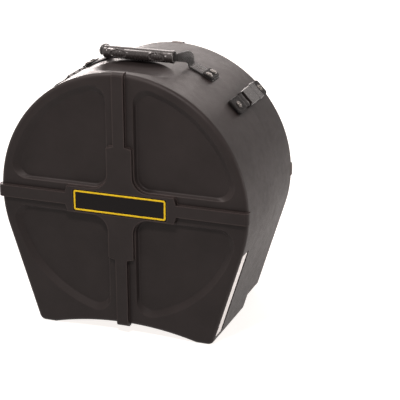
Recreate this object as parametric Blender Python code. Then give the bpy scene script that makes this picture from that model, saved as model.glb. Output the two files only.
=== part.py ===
"""A drum case in two moulded halves, standing on its feet, with strap buckles and a carrying handle.

Metres, +Z up. X is to the right of someone facing the label, Y runs from the label to the rear.
The origin is on the floor, at the bottom centre of the whole case's box.
"""
import bpy
import bmesh
from math import acos, atan2, cos, degrees, pi, radians, sin, sqrt
from mathutils import Matrix, Vector

# Fits
GAP = 0.0003                    # between pieces that touch
OVERRUN = 0.012                 # how far a cutter runs past what it cuts
ROUND_STEPS = 48                # facets round the circular part of the case
SHARP_ANGLE = 28                # degrees between faces that are shaded apart

# Case halves
FRONT_RADIUS = 0.225            # outside of the front half
FOOT_DROP = 0.238               # from the circle's centre down to the feet
TAPER_ANGLE = 17.45             # degrees that the sides lean in below the circle
FOOT_CORNER = 0.012
LEAST_CORNER = 0.002            # what is left of the foot's corner well inside the case
FOOT_FLAT = 0.020               # width of the flat that each foot stands on, beside the arch
ARCH_RISE = 0.017
FRONT_DEPTH = 0.160             # from the front face to the front half's mouth
REAR_DEPTH = 0.112              # from there to the rear face
WALL = 0.0045
EDGE_RADIUS = 0.0075
RIM_CHAMFER = 0.001
REAR_INSET = 0.009              # the rear half is this much smaller all round
LIP_DEPTH = 0.022               # of the rear half, inside the front half's mouth
LIP_DRAW = 0.0015               # the lip is drawn in by this much more
LIP_RAMP = 0.004
SHOULDER_BITE = 0.0015          # how far the stop shoulder reaches over the front half's wall
SHOULDER_WIDTH = 0.0045
SHOULDER_RAMP = 0.003

# Relief on both end faces
ARM_HALF_WIDTH = 0.0245         # of the cross between the four recesses
RECESS_MARGIN = 0.016           # from the side wall to the outer arc of the recesses
RECESS_DEPTH = 0.0075
RECESS_CORNER = 0.026
RECESS_ARC_SLOPE = 0.011        # width of the sloped wall along the arc
RECESS_SIDE_SLOPE = 0.003
BAND_HALF_WIDTH = 0.0105
BAND_HEIGHT = 0.0065
BAND_WRAP = 0.010               # how far the band's ends run back over the edge
BAND_PROUD = 0.003              # how far they stand out from the side wall
REAR_BAND_PROUD = 0.0005        # on the rear half, where they end on the rounded edge
BAND_EDGE = 0.0018
PLATEAU_HALF_WIDTH = 0.023
PLATEAU_REACH = 0.101
PLATEAU_CHAMFER = 0.004

# Hand dish under the grip
DISH_AHEAD = 0.078              # its middle is this far ahead of the handle strap's feet
DISH_HALF_LENGTH = 0.093
DISH_HALF_WIDTH = 0.036
DISH_FLOOR = 0.014              # its depth below the crown
DISH_RIM = 0.002                # its widest level, below the crown

# Badge and write-on label
BADGE_LENGTH = 0.171
BADGE_WIDTH = 0.0392
BADGE_CORNER = 0.003
BADGE_CENTRE_X = -0.001
BADGE_CENTRE_Z = -0.001
BADGE_THICKNESS = 0.001
BADGE_POCKET = 0.0022
BADGE_BORDER_SETBACK = 0.0018
BADGE_BORDER_WIDTH = 0.0030
LABEL_START = 0.0078            # from the front face
LABEL_WIDTH = 0.041
LABEL_TOP = -0.0705             # above the circle's centre
LABEL_BOTTOM = -0.223
LABEL_POCKET = 0.0013
LABEL_CORNER = 0.003

# Strap buckles, three alike: two at the shoulders and one under the arch
BUCKLE_ANGLE = 43.1             # degrees above the horizontal, both sides
WEB_WIDTH = 0.025
WEB_THICKNESS = 0.0016
ANCHOR_AHEAD = 0.048            # from the front anchor plate's start to the socket's
ANCHOR_LENGTH = 0.038
ANCHOR_WIDTH = 0.030
ANCHOR_COVER = 0.0024           # plate material over the webbing
ANCHOR_CORNER = 0.005
ANCHOR_RIVET_PLACE = 0.018      # from the plate's start
REAR_ANCHOR_MARGIN = 0.0115     # from the rear face to the rear anchor plate
REAR_ANCHOR_LENGTH = 0.0295
REAR_STRAP_RUN = 0.0132         # from the plug to the rear anchor plate
SOCKET_LENGTH = 0.0455
SOCKET_WIDTH = 0.030
SOCKET_HEIGHT = 0.0095
SOCKET_CORNER = 0.003
BAR_WIDTH = 0.0035
BAR_HEIGHT = 0.003
BAR_SLOT = 0.005
CAVITY_WIDTH = 0.0266
CAVITY_FLOOR = 0.0020           # material below and above the cavity
PLUG_LENGTH = 0.0255
PLUG_WIDTH = 0.033
PLUG_TAIL_WIDTH = 0.030
PLUG_SETBACK = 0.0006           # lower than the socket above and below
PRONG_PIVOT_SIDE = 0.0115
PRONG_PIVOT_SETBACK = 0.004     # from the plug's front edge
PRONG_ROOT_RADIUS = 0.0025
PRONG_THICKNESS = 0.003
PRONG_LENGTH = 0.036
PRONG_TIP = 0.0012
WING_START = 0.020              # the catch, from the pivot
WING_CREST = 0.0285
WING_END = 0.0335
WING_REACH = 0.005
WING_ROUND = 0.0007
CATCH_CLEARANCE = 0.0004
TIP_CLEARANCE = 0.001

# Rivets and washers
RIVET_HEAD_RADIUS = 0.0062
RIVET_HEAD_HEIGHT = 0.0026
RIVET_SHANK_RADIUS = 0.0024
RIVET_TAIL_RADIUS = 0.0040
RIVET_TAIL_HEIGHT = 0.0011
WASHER_RADIUS = 0.0080
WASHER_THICKNESS = 0.0012

# Handle: webbing through a moulded grip, which has flopped forwards and rests on the crown
HANDLE_SETBACK = 0.023          # from the front half's mouth to the middle of the strap's feet
HANDLE_LEAN = 0.045             # how far ahead of its feet the grip lies
GRIP_LENGTH = 0.127
GRIP_AXIS_RISE = 0.0112         # above the crown
GRIP_RADIUS = 0.0108
GRIP_COLLAR = 0.009
GRIP_MOUTH_SHARE = 0.93         # these three are shares of the collar's radius
GRIP_BODY_SHARE = 0.95
GRIP_SWELL_SHARE = 0.03
GRIP_PAD_SPACING = 0.070
GRIP_PAD_HALF_LENGTH = 0.0175
GRIP_PAD_HALF_HEIGHT = 0.0085
GRIP_RIB = 0.0008
GRIP_RIBS = 5                   # on each pad
BORE_HALF_HEIGHT = 0.0074
BORE_HALF_THICKNESS = 0.0031
BORE_FLARE = 0.0012
BORE_FLARE_LENGTH = 0.010
STRAP_WIDTH = 0.033
STRAP_THICKNESS = 0.0025
STRAP_BUNCHED_WIDTH = 0.026     # where it leaves the shell
STRAP_FOLDED_WIDTH = 0.0135     # folded to pass through the grip, on edge
STRAP_FOLDED_THICKNESS = 0.0052
STRAP_RUN = 0.0680              # half of its straight run
STRAP_RUN_SHARES = (0, 0.4, 0.8, 1)
STRAP_FOOT_REACH = 0.0835       # from the middle to the centre of the bend at the foot
STRAP_FOOT_BEND = 0.006
STRAP_RUN_PULL = 0.0105         # these two say how full the curve between run and foot is
STRAP_FOOT_PULL = 0.0165
STRAP_CURVE_STEPS = 8
STRAP_TAIL = 0.0435             # lies on the shell, from the foot of the bend to the end
CLAMP_SETBACK = 0.021           # from the foot of the bend to the clamp plate
CLAMP_LENGTH = 0.021
CLAMP_WIDTH = 0.037
CLAMP_THICKNESS = 0.0024
CLAMP_CORNER = 0.004
CLAMP_RIVET_SPACING = 0.020
BACKING_LENGTH = 0.018
BACKING_WIDTH = 0.036

CENTRE_HEIGHT = FOOT_DROP
BODY_DEPTH = FRONT_DEPTH + REAR_DEPTH
FACE_Y = -BODY_DEPTH / 2
RECESS_RADIUS = FRONT_RADIUS - RECESS_MARGIN
HANDLE_PLACE = FRONT_DEPTH - HANDLE_SETBACK
GRIP_PLACE = HANDLE_PLACE - HANDLE_LEAN
REAR_ANCHOR_START = BODY_DEPTH - REAR_ANCHOR_MARGIN - REAR_ANCHOR_LENGTH
PLUG_END = REAR_ANCHOR_START - REAR_STRAP_RUN
PLUG_START = PLUG_END - PLUG_LENGTH
SOCKET_END = PLUG_START - GAP
SOCKET_START = SOCKET_END - SOCKET_LENGTH
ANCHOR_START = SOCKET_START - ANCHOR_AHEAD
BUCKLE_PLACES = {"right": BUCKLE_ANGLE, "left": 180 - BUCKLE_ANGLE, "bottom": -90.0}


def material(name, colour, roughness, metallic=0.0):
    """A plain Principled material."""
    made = bpy.data.materials.new(name)
    made.use_nodes = True
    shader = made.node_tree.nodes["Principled BSDF"]
    shader.inputs["Base Color"].default_value = (*colour, 1.0)
    shader.inputs["Roughness"].default_value = roughness
    shader.inputs["Metallic"].default_value = metallic
    return made


def clear_scene():
    """Removes what the file starts with."""
    for item in list(bpy.data.objects):
        bpy.data.objects.remove(item, do_unlink=True)


def add(name, mesh, finish):
    """Turns a bmesh into a named object of the scene; without a finish it is a cutter."""
    bmesh.ops.recalc_face_normals(mesh, faces=mesh.faces)
    data = bpy.data.meshes.new(name)
    mesh.to_mesh(data)
    mesh.free()
    piece = bpy.data.objects.new(name, data)
    bpy.context.scene.collection.objects.link(piece)
    if finish is None:
        piece.hide_render = True
        piece.display_type = "WIRE"
        return piece
    data.materials.append(finish)
    return piece


def combine(piece, tool, operation):
    """Adds an exact Boolean; a tool with no place of its own moves with the piece."""
    if tool.parent is None:
        tool.parent = piece
    step = piece.modifiers.new(tool.name, "BOOLEAN")
    step.operation = operation
    step.solver = "EXACT"
    step.object = tool


def cut(piece, *tools):
    for tool in tools:
        combine(piece, tool, "DIFFERENCE")


def join(piece, tool):
    combine(piece, tool, "UNION")


def soften(piece, width, segments=1):
    """Bevels the sharp edges of a piece."""
    step = piece.modifiers.new("soft edges", "BEVEL")
    step.width = width
    step.segments = segments
    step.limit_method = "ANGLE"
    step.angle_limit = radians(40)


def skin(mesh, rings, ends=True):
    """Faces between rings of points with the same count, and over the first and last ring."""
    loops = [[mesh.verts.new(point) for point in ring] for ring in rings]
    for low, high in zip(loops, loops[1:]):
        for i, corner in enumerate(low):
            j = (i + 1) % len(low)
            mesh.faces.new((corner, low[j], high[j], high[i]))
    if ends:
        mesh.faces.new(loops[0])
        mesh.faces.new(list(reversed(loops[-1])))


def loft(name, rings, finish=None):
    mesh = bmesh.new()
    skin(mesh, rings)
    return add(name, mesh, finish)


def prism(name, points, place, start, end, finish=None):
    """An outline swept straight: place(u, v, w) puts an outline point at the height w."""
    return loft(name, [[place(u, v, w) for u, v in points] for w in (start, end)], finish)


def ring(radius, height, sides=10):
    turns = [2 * pi * i / sides for i in range(sides)]
    return [Vector((radius * cos(a), radius * sin(a), height)) for a in turns]


def turned(name, profile, finish=None):
    """A solid of revolution about Z; the profile runs from the axis to the axis, as (radius, height)."""
    return loft(name, [ring(radius, height) for radius, height in profile[1:-1]], finish)


def arc(centre, radius, start, end, steps):
    """Points on an arc, in degrees, both ends included."""
    angles = [radians(start + (end - start) * i / steps) for i in range(steps + 1)]
    return [(centre[0] + radius * cos(a), centre[1] + radius * sin(a)) for a in angles]


def rounded(width, height, corner, steps=2):
    """A rectangle with round corners about (0, 0), anticlockwise."""
    x = width / 2 - corner
    z = height / 2 - corner
    points = []
    for turn, (sx, sz) in enumerate(((1, 1), (-1, 1), (-1, -1), (1, -1))):
        points += arc((sx * x, sz * z), corner, 90 * turn, 90 * turn + 90, steps)
    return points


def sag(half_width, radius):
    """How far a circle falls away from its tangent at this half width."""
    return radius - sqrt(radius ** 2 - half_width ** 2)


def facet_sag(radius):
    return radius * (1 - cos(radians((180 + 2 * TAPER_ANGLE) / ROUND_STEPS / 2)))


def foot_corner(inset):
    """The round corner of the right foot: its radius, and its centre's x and height."""
    corner = max(FOOT_CORNER - inset, LEAST_CORNER)
    lean = radians(TAPER_ANGLE)
    height = inset - FOOT_DROP + corner
    return corner, (FRONT_RADIUS - inset - corner + sin(lean) * height) / cos(lean), height


def arch_half_width():
    return foot_corner(0)[1] - FOOT_FLAT


def arch_radius():
    return (arch_half_width() ** 2 + ARCH_RISE ** 2) / (2 * ARCH_RISE)


def case_outline(inset):
    """The case seen from the front, a distance inside the front half's outer surface."""
    radius = FRONT_RADIUS - inset
    corner, corner_x, corner_z = foot_corner(inset)
    floor = inset - FOOT_DROP
    points = arc((corner_x, corner_z), corner, -90, -TAPER_ANGLE, 3)
    points += arc((0, 0), radius, -TAPER_ANGLE, 180 + TAPER_ANGLE, ROUND_STEPS)
    points += arc((-corner_x, corner_z), corner, 180 + TAPER_ANGLE, 270, 3)
    bend = arch_radius()
    steps = 12
    for i in range(steps + 1):
        x = arch_half_width() * (2 * i / steps - 1)
        points.append((x, floor + ARCH_RISE - sag(abs(x), bend)))
    return points


def at(x, depth, height):
    """A point of the case: depth from the front face, height above the circle's centre."""
    return Vector((x, FACE_Y + depth, CENTRE_HEIGHT + height))


def case_rings(stations):
    """Rings of the case's outline at (depth, inset) stations."""
    return [[at(x, depth, z) for x, z in case_outline(inset)] for depth, inset in stations]


def edge_stations(inset, face, inward, steps=3):
    """The rounded edge of an end face, as (depth, inset) stations from the face inwards."""
    angles = [radians(90 * i / steps) for i in range(steps + 1)]
    return [(face + inward * EDGE_RADIUS * (1 - cos(a)), inset + EDGE_RADIUS * (1 - sin(a)))
            for a in angles]


def recess_outline(arc_radius, side, corner, sx, sz, steps):
    """One recess between two arms of the cross, in the quadrant that sx and sz give."""
    reach = sqrt((arc_radius - corner) ** 2 - (side + corner) ** 2)
    swing = degrees(atan2(side + corner, reach))
    points = arc((side + corner, side + corner), corner, 180, 270, steps)
    points += arc((reach, side + corner), corner, 270, 360 + swing, steps)
    points += arc((0, 0), arc_radius, swing, 90 - swing, 3 * steps)
    points += arc((side + corner, reach), corner, 90 - swing, 180, steps)
    points = [(sx * x, sz * z) for x, z in points]
    if sx * sz < 0:
        points.reverse()
    return points


def recesses(name, face, inward, arc_radius, grow, start, depth, steps=4):
    """The four recesses of a face as cutters, or, grown by the wall, the bulges behind them."""
    mesh = bmesh.new()
    for sx, sz in ((1, 1), (-1, 1), (-1, -1), (1, -1)):
        rings = []
        for level, slope_share in ((start, 0), (0, 0), (depth, 1)):
            side = ARM_HALF_WIDTH - grow + RECESS_SIDE_SLOPE * slope_share
            radius = arc_radius + grow - RECESS_ARC_SLOPE * slope_share
            corner = RECESS_CORNER - RECESS_SIDE_SLOPE * slope_share
            outline = recess_outline(radius, side, corner, sx, sz, steps)
            rings.append([at(x, face + inward * level, z) for x, z in outline])
        skin(mesh, rings)
    return add(name, mesh, None)


def relief_outline(edge_reach, bottom_reach, shrink, steps):
    """The raised cross: a wide plateau in the middle and a narrow band out to the edge on each arm."""
    quarter_reaches = ((edge_reach, edge_reach), (edge_reach, edge_reach),
                       (edge_reach, bottom_reach), (bottom_reach, edge_reach))
    band = BAND_HALF_WIDTH - shrink
    wide = PLATEAU_HALF_WIDTH - shrink
    reach = PLATEAU_REACH - shrink
    centre = RECESS_CORNER + ARM_HALF_WIDTH
    points = []
    for turn, (start_reach, end_reach) in enumerate(quarter_reaches):
        quarter = [(start_reach, band), (reach, band), (reach, wide - PLATEAU_CHAMFER),
                   (reach - PLATEAU_CHAMFER, wide)]
        quarter += arc((centre, centre), centre - wide, 270, 180, steps)
        quarter += [(wide, reach - PLATEAU_CHAMFER), (wide - PLATEAU_CHAMFER, reach),
                    (band, reach), (band, end_reach)]
        turned_by = Matrix.Rotation(radians(90 * turn), 2)
        points += [tuple(turned_by @ Vector(point)) for point in quarter]
    return points


def relief(name, face, inward, inset, proud):
    """The raised cross of one end face, wrapping over the edge at its four ends."""
    edge_reach = FRONT_RADIUS - inset + OVERRUN
    bottom_reach = FOOT_DROP - ARCH_RISE - inset + OVERRUN
    outline = relief_outline(edge_reach, bottom_reach, 0, 5)

    def place(x, z, level):
        return at(x, face + inward * level, z)

    piece = prism(name, outline, place, -BAND_HEIGHT, BAND_WRAP + OVERRUN)
    soften(piece, BAND_EDGE)
    stations = [(face - inward * (BAND_HEIGHT + OVERRUN), inset + EDGE_RADIUS)]
    stations += edge_stations(inset - proud, face - inward * BAND_HEIGHT, inward)[1:]
    stations += [(face + inward * (BAND_WRAP - proud), inset - proud),
                 (face + inward * (BAND_WRAP + proud), inset + proud)]
    combine(piece, loft(name + " reach", case_rings(stations)), "INTERSECT")
    return piece


def relief_channel(name, face, inward, inset):
    """The hollow behind the raised cross, one wall thickness inside it."""
    edge_reach = FRONT_RADIUS - inset - EDGE_RADIUS
    bottom_reach = FOOT_DROP - ARCH_RISE - inset - EDGE_RADIUS
    outline = relief_outline(edge_reach, bottom_reach, WALL, 3)

    def place(x, z, level):
        return at(x, face + inward * level, z)

    return prism(name, outline, place, WALL - BAND_HEIGHT, WALL + EDGE_RADIUS)


def ellipsoid(name, centre, half_sizes, sides, levels):
    """A closed ellipsoid, for the hand dish and the bulge behind it."""
    mesh = bmesh.new()
    half_step = Matrix.Rotation(pi / sides, 4, "Z")
    scale = Matrix.Diagonal((*half_sizes, 1))
    bmesh.ops.create_uvsphere(mesh, u_segments=sides, v_segments=levels, radius=1,
                              matrix=Matrix.Translation(centre) @ scale @ half_step)
    return add(name, mesh, None)


def dish(name, grow, sides, levels):
    centre = at(0, HANDLE_PLACE - DISH_AHEAD, FRONT_RADIUS - DISH_RIM)
    halves = (DISH_HALF_LENGTH + grow, DISH_HALF_WIDTH + grow, DISH_FLOOR - DISH_RIM + grow)
    return ellipsoid(name, centre, halves, sides, levels)


def label_frame():
    """A place function for the leaning right side: up along the side, in depth, and outwards."""
    lean = radians(TAPER_ANGLE)
    outwards = Vector((cos(lean), 0, -sin(lean)))
    along = Vector((sin(lean), 0, cos(lean)))

    def place(rise, depth, out):
        point = along * rise + outwards * (FRONT_RADIUS + out)
        return at(point.x, depth, point.z)
    return place


def front_half(finish):
    """The front half: labelled face, mouth to the rear, feet, hand dish."""
    outer = edge_stations(0, 0, 1)
    outer += [(FRONT_DEPTH - RIM_CHAMFER, 0), (FRONT_DEPTH, RIM_CHAMFER)]
    shell = loft("front_shell", case_rings(outer), finish)
    cut(shell, dish("hand dish", 0, 28, 14))
    join(shell, relief("front relief", 0, 1, 0, BAND_PROUD))
    cut(shell, recesses("front recesses", 0, 1, RECESS_RADIUS, 0, -OVERRUN, RECESS_DEPTH))
    inside = loft("front inside", case_rings([
        (WALL, EDGE_RADIUS), (EDGE_RADIUS, WALL), (FRONT_DEPTH + OVERRUN, WALL)]))
    cut(inside, recesses("front bulges", 0, 1, RECESS_RADIUS, WALL, -OVERRUN, RECESS_DEPTH + WALL, 3))
    cut(inside, dish("dish bulge", WALL, 16, 8))
    cut(shell, inside, relief_channel("front channel", 0, 1, 0))
    return shell


def rear_half(finish):
    """The rear half: a lip inside the front half's mouth, a stop shoulder, and the same relief."""
    stop = FRONT_DEPTH + GAP
    lip = REAR_INSET + LIP_DRAW
    shoulder = WALL - SHOULDER_BITE
    outer = [(FRONT_DEPTH - LIP_DEPTH, lip + RIM_CHAMFER), (FRONT_DEPTH - LIP_DEPTH + RIM_CHAMFER, lip),
             (stop, lip), (stop, shoulder), (stop + SHOULDER_WIDTH, shoulder),
             (stop + SHOULDER_WIDTH + SHOULDER_RAMP, REAR_INSET)]
    outer += reversed(edge_stations(REAR_INSET, BODY_DEPTH, -1))
    shell = loft("rear_shell", case_rings(outer), finish)
    join(shell, relief("rear relief", BODY_DEPTH, -1, REAR_INSET, REAR_BAND_PROUD))
    arc_radius = RECESS_RADIUS - REAR_INSET
    cut(shell, recesses("rear recesses", BODY_DEPTH, -1, arc_radius, 0, -OVERRUN, RECESS_DEPTH))
    inside = loft("rear inside", case_rings([
        (FRONT_DEPTH - LIP_DEPTH - OVERRUN, lip + WALL), (FRONT_DEPTH, lip + WALL),
        (FRONT_DEPTH + LIP_RAMP, REAR_INSET + WALL),
        (BODY_DEPTH - EDGE_RADIUS, REAR_INSET + WALL), (BODY_DEPTH - WALL, REAR_INSET + EDGE_RADIUS)]))
    cut(inside, recesses("rear bulges", BODY_DEPTH, -1, arc_radius, WALL, -OVERRUN,
                         RECESS_DEPTH + WALL, 3))
    cut(shell, inside, relief_channel("rear channel", BODY_DEPTH, -1, REAR_INSET))
    return shell


def badge(shell, plate_finish, border_finish):
    """A bare badge in a pocket of the plateau, with a plain raised border."""
    def place(x, z, level):
        return at(x + BADGE_CENTRE_X, level, z + BADGE_CENTRE_Z)

    pocket_size = (BADGE_LENGTH + 2 * GAP, BADGE_WIDTH + 2 * GAP, BADGE_CORNER + GAP)
    floor = BADGE_POCKET - BAND_HEIGHT
    cut(shell, prism("badge pocket", rounded(*pocket_size), place, -BAND_HEIGHT - OVERRUN, floor))
    plate_front = floor - GAP - BADGE_THICKNESS
    prism("badge_plate", rounded(BADGE_LENGTH, BADGE_WIDTH, BADGE_CORNER), place,
          plate_front, floor - GAP, plate_finish)
    outer = rounded(BADGE_LENGTH - 2 * BADGE_BORDER_SETBACK, BADGE_WIDTH - 2 * BADGE_BORDER_SETBACK,
                    BADGE_CORNER)
    hole_margin = 2 * (BADGE_BORDER_SETBACK + BADGE_BORDER_WIDTH)
    hole = rounded(BADGE_LENGTH - hole_margin, BADGE_WIDTH - hole_margin, BADGE_CORNER / 2)
    border_front = -BAND_HEIGHT
    border_back = plate_front - GAP
    rings = []
    for outline, level in ((outer, border_front), (outer, border_back), (hole, border_back),
                           (hole, border_front), (outer, border_front)):
        rings.append([place(x, z, level) for x, z in outline])
    mesh = bmesh.new()
    skin(mesh, rings, ends=False)
    bmesh.ops.remove_doubles(mesh, verts=mesh.verts, dist=GAP / 10)
    add("badge_border", mesh, border_finish)


def side_label(shell, finish):
    """A blank write-on label, flush in a shallow pocket of the leaning right side."""
    place = label_frame()
    lean = radians(TAPER_ANGLE)
    length = (LABEL_TOP - LABEL_BOTTOM) / cos(lean)
    middle = ((LABEL_TOP + LABEL_BOTTOM) / 2 + FRONT_RADIUS * sin(lean)) / cos(lean)
    centre_depth = LABEL_START + LABEL_WIDTH / 2

    def centred(u, v, out):
        return place(middle + u, centre_depth + v, out)

    pocket = rounded(length + 2 * GAP, LABEL_WIDTH + 2 * GAP, LABEL_CORNER + GAP)
    cut(shell, prism("label pocket", pocket, centred, -LABEL_POCKET, OVERRUN))
    prism("side_label", rounded(length, LABEL_WIDTH, LABEL_CORNER), centred, GAP - LABEL_POCKET, 0, finish)


def rivet_solid(name, clamp, finish):
    """A domed rivet for a stack of this thickness; its head rests at height 0, its tail is rolled."""
    profile = [(RIVET_HEAD_RADIUS * sin(radians(a)), RIVET_HEAD_HEIGHT * cos(radians(a)))
               for a in (0, 25, 58, 90)]
    tail = -clamp - RIVET_TAIL_HEIGHT
    profile += [(RIVET_SHANK_RADIUS, 0), (RIVET_SHANK_RADIUS, -clamp), (RIVET_TAIL_RADIUS, -clamp),
                (RIVET_TAIL_RADIUS - RIVET_TAIL_HEIGHT / 3, tail), (0, tail)]
    return turned(name, profile, finish)


def rivet_hole(name):
    """A cutter for a rivet's shank, long enough for any of the stacks."""
    reach = WALL + OVERRUN
    radius = RIVET_SHANK_RADIUS + GAP
    return turned(name, [(0, reach), (radius, reach), (radius, -reach), (0, -reach)])


def washer(name, finish):
    """A flat ring whose outer face is at height 0."""
    mesh = bmesh.new()
    hole = RIVET_SHANK_RADIUS + GAP
    skin(mesh, [ring(radius, height) for radius, height in (
        (hole, 0), (WASHER_RADIUS, 0), (WASHER_RADIUS, -WASHER_THICKNESS),
        (hole, -WASHER_THICKNESS), (hole, 0))], ends=False)
    bmesh.ops.remove_doubles(mesh, verts=mesh.verts, dist=GAP / 10)
    return add(name, mesh, finish)


def put(piece, parent, x, depth, height):
    """Places a piece in a strap's own frame: across, from the front face, and outwards."""
    piece.parent = parent
    piece.location = (x, FACE_Y + depth, height)
    return piece


def box(name, x_range, y_range, z_range, finish=None):
    """A box between limits, for cuts and plain bars."""
    outline = [(x_range[0], y_range[0]), (x_range[1], y_range[0]),
               (x_range[1], y_range[1]), (x_range[0], y_range[1])]
    return prism(name, outline, lambda x, y, z: Vector((x, y, z)), z_range[0], z_range[1], finish)


def flat(x, y, z):
    return Vector((x, y, z))


def sideways(y, z, x):
    return Vector((x, y, z))


def anchor_plate(name, length, finish):
    """A moulded cover plate: it spans the webbing like a low bridge, with a rivet hole in its top."""
    height = 2 * WEB_THICKNESS + GAP + ANCHOR_COVER
    outline = rounded(ANCHOR_WIDTH, length, ANCHOR_CORNER)
    outline = [(x, y + length / 2) for x, y in outline]
    plate = prism(name, outline, flat, 0, height, finish)
    soften(plate, ANCHOR_COVER / 2)
    side = WEB_WIDTH / 2 + GAP
    cut(plate, box(name + " channel", (-side, side), (-OVERRUN, length + OVERRUN),
                   (-OVERRUN, 2 * WEB_THICKNESS + GAP)))
    return plate


def bar_loop(lower, bar_start, bar_end, direction):
    """Webbing folded round a bar: outline and hole, in (y, height); direction is where the fold points."""
    top = lower + 2 * WEB_THICKNESS + 2 * GAP + BAR_HEIGHT
    double = lower + 2 * WEB_THICKNESS
    chamfer = WEB_THICKNESS
    tip = bar_end + direction * (GAP + WEB_THICKNESS)
    split = bar_start - direction * BAR_WIDTH
    outline = [(tip - direction * chamfer, lower), (tip, lower + chamfer), (tip, top - chamfer),
               (tip - direction * chamfer, top), (bar_start - direction * GAP, top), (split, double)]
    hole = [(split + direction * BAR_WIDTH / 2, lower + WEB_THICKNESS),
            (bar_end + direction * GAP, lower + WEB_THICKNESS),
            (bar_end + direction * GAP, top - WEB_THICKNESS),
            (bar_start - direction * GAP, top - WEB_THICKNESS)]
    return outline, hole


def front_webbing(name, seat, finish):
    """The short tab between the front anchor plate and the socket's bar."""
    bar_start = SOCKET_START
    bar_end = bar_start + BAR_WIDTH
    outline, hole = bar_loop(seat, bar_start, bar_end, 1)
    start = ANCHOR_START + ANCHOR_CORNER / 2
    outline += [(start, seat + 2 * WEB_THICKNESS), (start, seat)]
    half = WEB_WIDTH / 2
    tab = prism(name, outline, sideways, -half, half, finish)
    cut(tab, prism(name + " eye", hole, sideways, -half - OVERRUN, half + OVERRUN))
    return tab


def rear_webbing(name, seat, finish):
    """The strap from the plug's bar down on to the rear half and under its anchor plate."""
    outline, hole = bar_loop(seat, PLUG_END, PLUG_END - BAR_WIDTH, -1)
    double = 2 * WEB_THICKNESS
    start = PLUG_END + BAR_WIDTH
    end = REAR_ANCHOR_START
    steps = 6
    shares = [i / steps for i in range(steps + 1)]
    slope = [(start + (end - start) * s, seat - REAR_INSET * s * s * (3 - 2 * s)) for s in shares]
    stop = REAR_ANCHOR_START + REAR_ANCHOR_LENGTH - ANCHOR_CORNER / 2
    outline += [(y, z + double) for y, z in slope[1:]]
    outline += [(stop, slope[-1][1] + double), (stop, slope[-1][1])]
    outline += [(y, z) for y, z in reversed(slope)]
    half = WEB_WIDTH / 2
    strap = prism(name, outline, sideways, -half, half, finish)
    cut(strap, prism(name + " eye", hole, sideways, -half - OVERRUN, half + OVERRUN))
    return strap


def bar_cuts(name, start, step, low, seat):
    """Frees a bar at the outer end of a buckle half; step says which way the rest of the half lies."""
    side = WEB_WIDTH / 2 + 2 * GAP
    bar_low = seat + WEB_THICKNESS + GAP
    outside = start - step * OVERRUN
    inside = start + step * (BAR_WIDTH + BAR_SLOT)
    wide = sorted((outside, inside))
    slot = sorted((start + step * BAR_WIDTH, inside))
    return [box(name + " below bar", (-side, side), wide, (low - OVERRUN, bar_low)),
            box(name + " above bar", (-side, side), wide, (bar_low + BAR_HEIGHT, bar_low + OVERRUN)),
            box(name + " slot", (-side, side), slot, (low - OVERRUN, bar_low + OVERRUN))]


def buckle_socket(name, seat, finish):
    """The female half: a flat housing with a bar, a cavity for the prongs and two side windows."""
    outline = [(x, y + SOCKET_START + SOCKET_LENGTH / 2)
               for x, y in rounded(SOCKET_WIDTH, SOCKET_LENGTH, SOCKET_CORNER)]
    housing = prism(name, outline, flat, seat, seat + SOCKET_HEIGHT, finish)
    soften(housing, CAVITY_FLOOR / 2)
    cavity = (seat + CAVITY_FLOOR, seat + SOCKET_HEIGHT - CAVITY_FLOOR)
    pivot = PLUG_START + PRONG_PIVOT_SETBACK
    half = CAVITY_WIDTH / 2
    tools = [box(name + " cavity", (-half, half),
                 (pivot - PRONG_LENGTH - TIP_CLEARANCE, SOCKET_END + OVERRUN), cavity)]
    window = (pivot - WING_END - TIP_CLEARANCE, pivot - WING_START + CATCH_CLEARANCE)
    reach = SOCKET_WIDTH / 2 + OVERRUN
    tools.append(box(name + " windows", (-reach, reach), window, cavity))
    tools += bar_cuts(name, SOCKET_START, 1, seat, seat)
    cut(housing, *tools)
    return housing


def buckle_plug(name, seat, finish):
    """The male half's body: two pockets for the prongs' roots, a slot and a bar."""
    wide = PLUG_WIDTH / 2
    tail = PLUG_TAIL_WIDTH / 2
    neck = PLUG_START + PLUG_LENGTH / 3
    shoulder = PLUG_END - SOCKET_CORNER
    outline = [(-wide, PLUG_START), (wide, PLUG_START), (wide, neck), (tail, shoulder),
               (tail - SOCKET_CORNER, PLUG_END), (SOCKET_CORNER - tail, PLUG_END),
               (-tail, shoulder), (-wide, neck)]
    low = seat + PLUG_SETBACK
    high = seat + SOCKET_HEIGHT - PLUG_SETBACK
    body = prism(name, outline, flat, low, high, finish)
    soften(body, CAVITY_FLOOR / 2)
    level = (seat + CAVITY_FLOOR, seat + SOCKET_HEIGHT - CAVITY_FLOOR)
    pivot = PLUG_START + PRONG_PIVOT_SETBACK
    room = PRONG_ROOT_RADIUS + GAP
    tools = []
    for side, label in ((1, " right"), (-1, " left")):
        inner = side * (PRONG_PIVOT_SIDE - room - GAP)
        outer = side * (PRONG_PIVOT_SIDE + room)
        tools.append(box(name + label + " mouth", sorted((inner, outer)),
                         (PLUG_START - OVERRUN, pivot), level))
        pocket = arc((side * PRONG_PIVOT_SIDE, pivot), room / cos(radians(15)), 15, 345, 11)
        tools.append(prism(name + label + " pocket", pocket, flat, level[0], level[1]))
    tools += bar_cuts(name, PLUG_END, -1, low, seat)
    cut(body, *tools)
    return body


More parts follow.
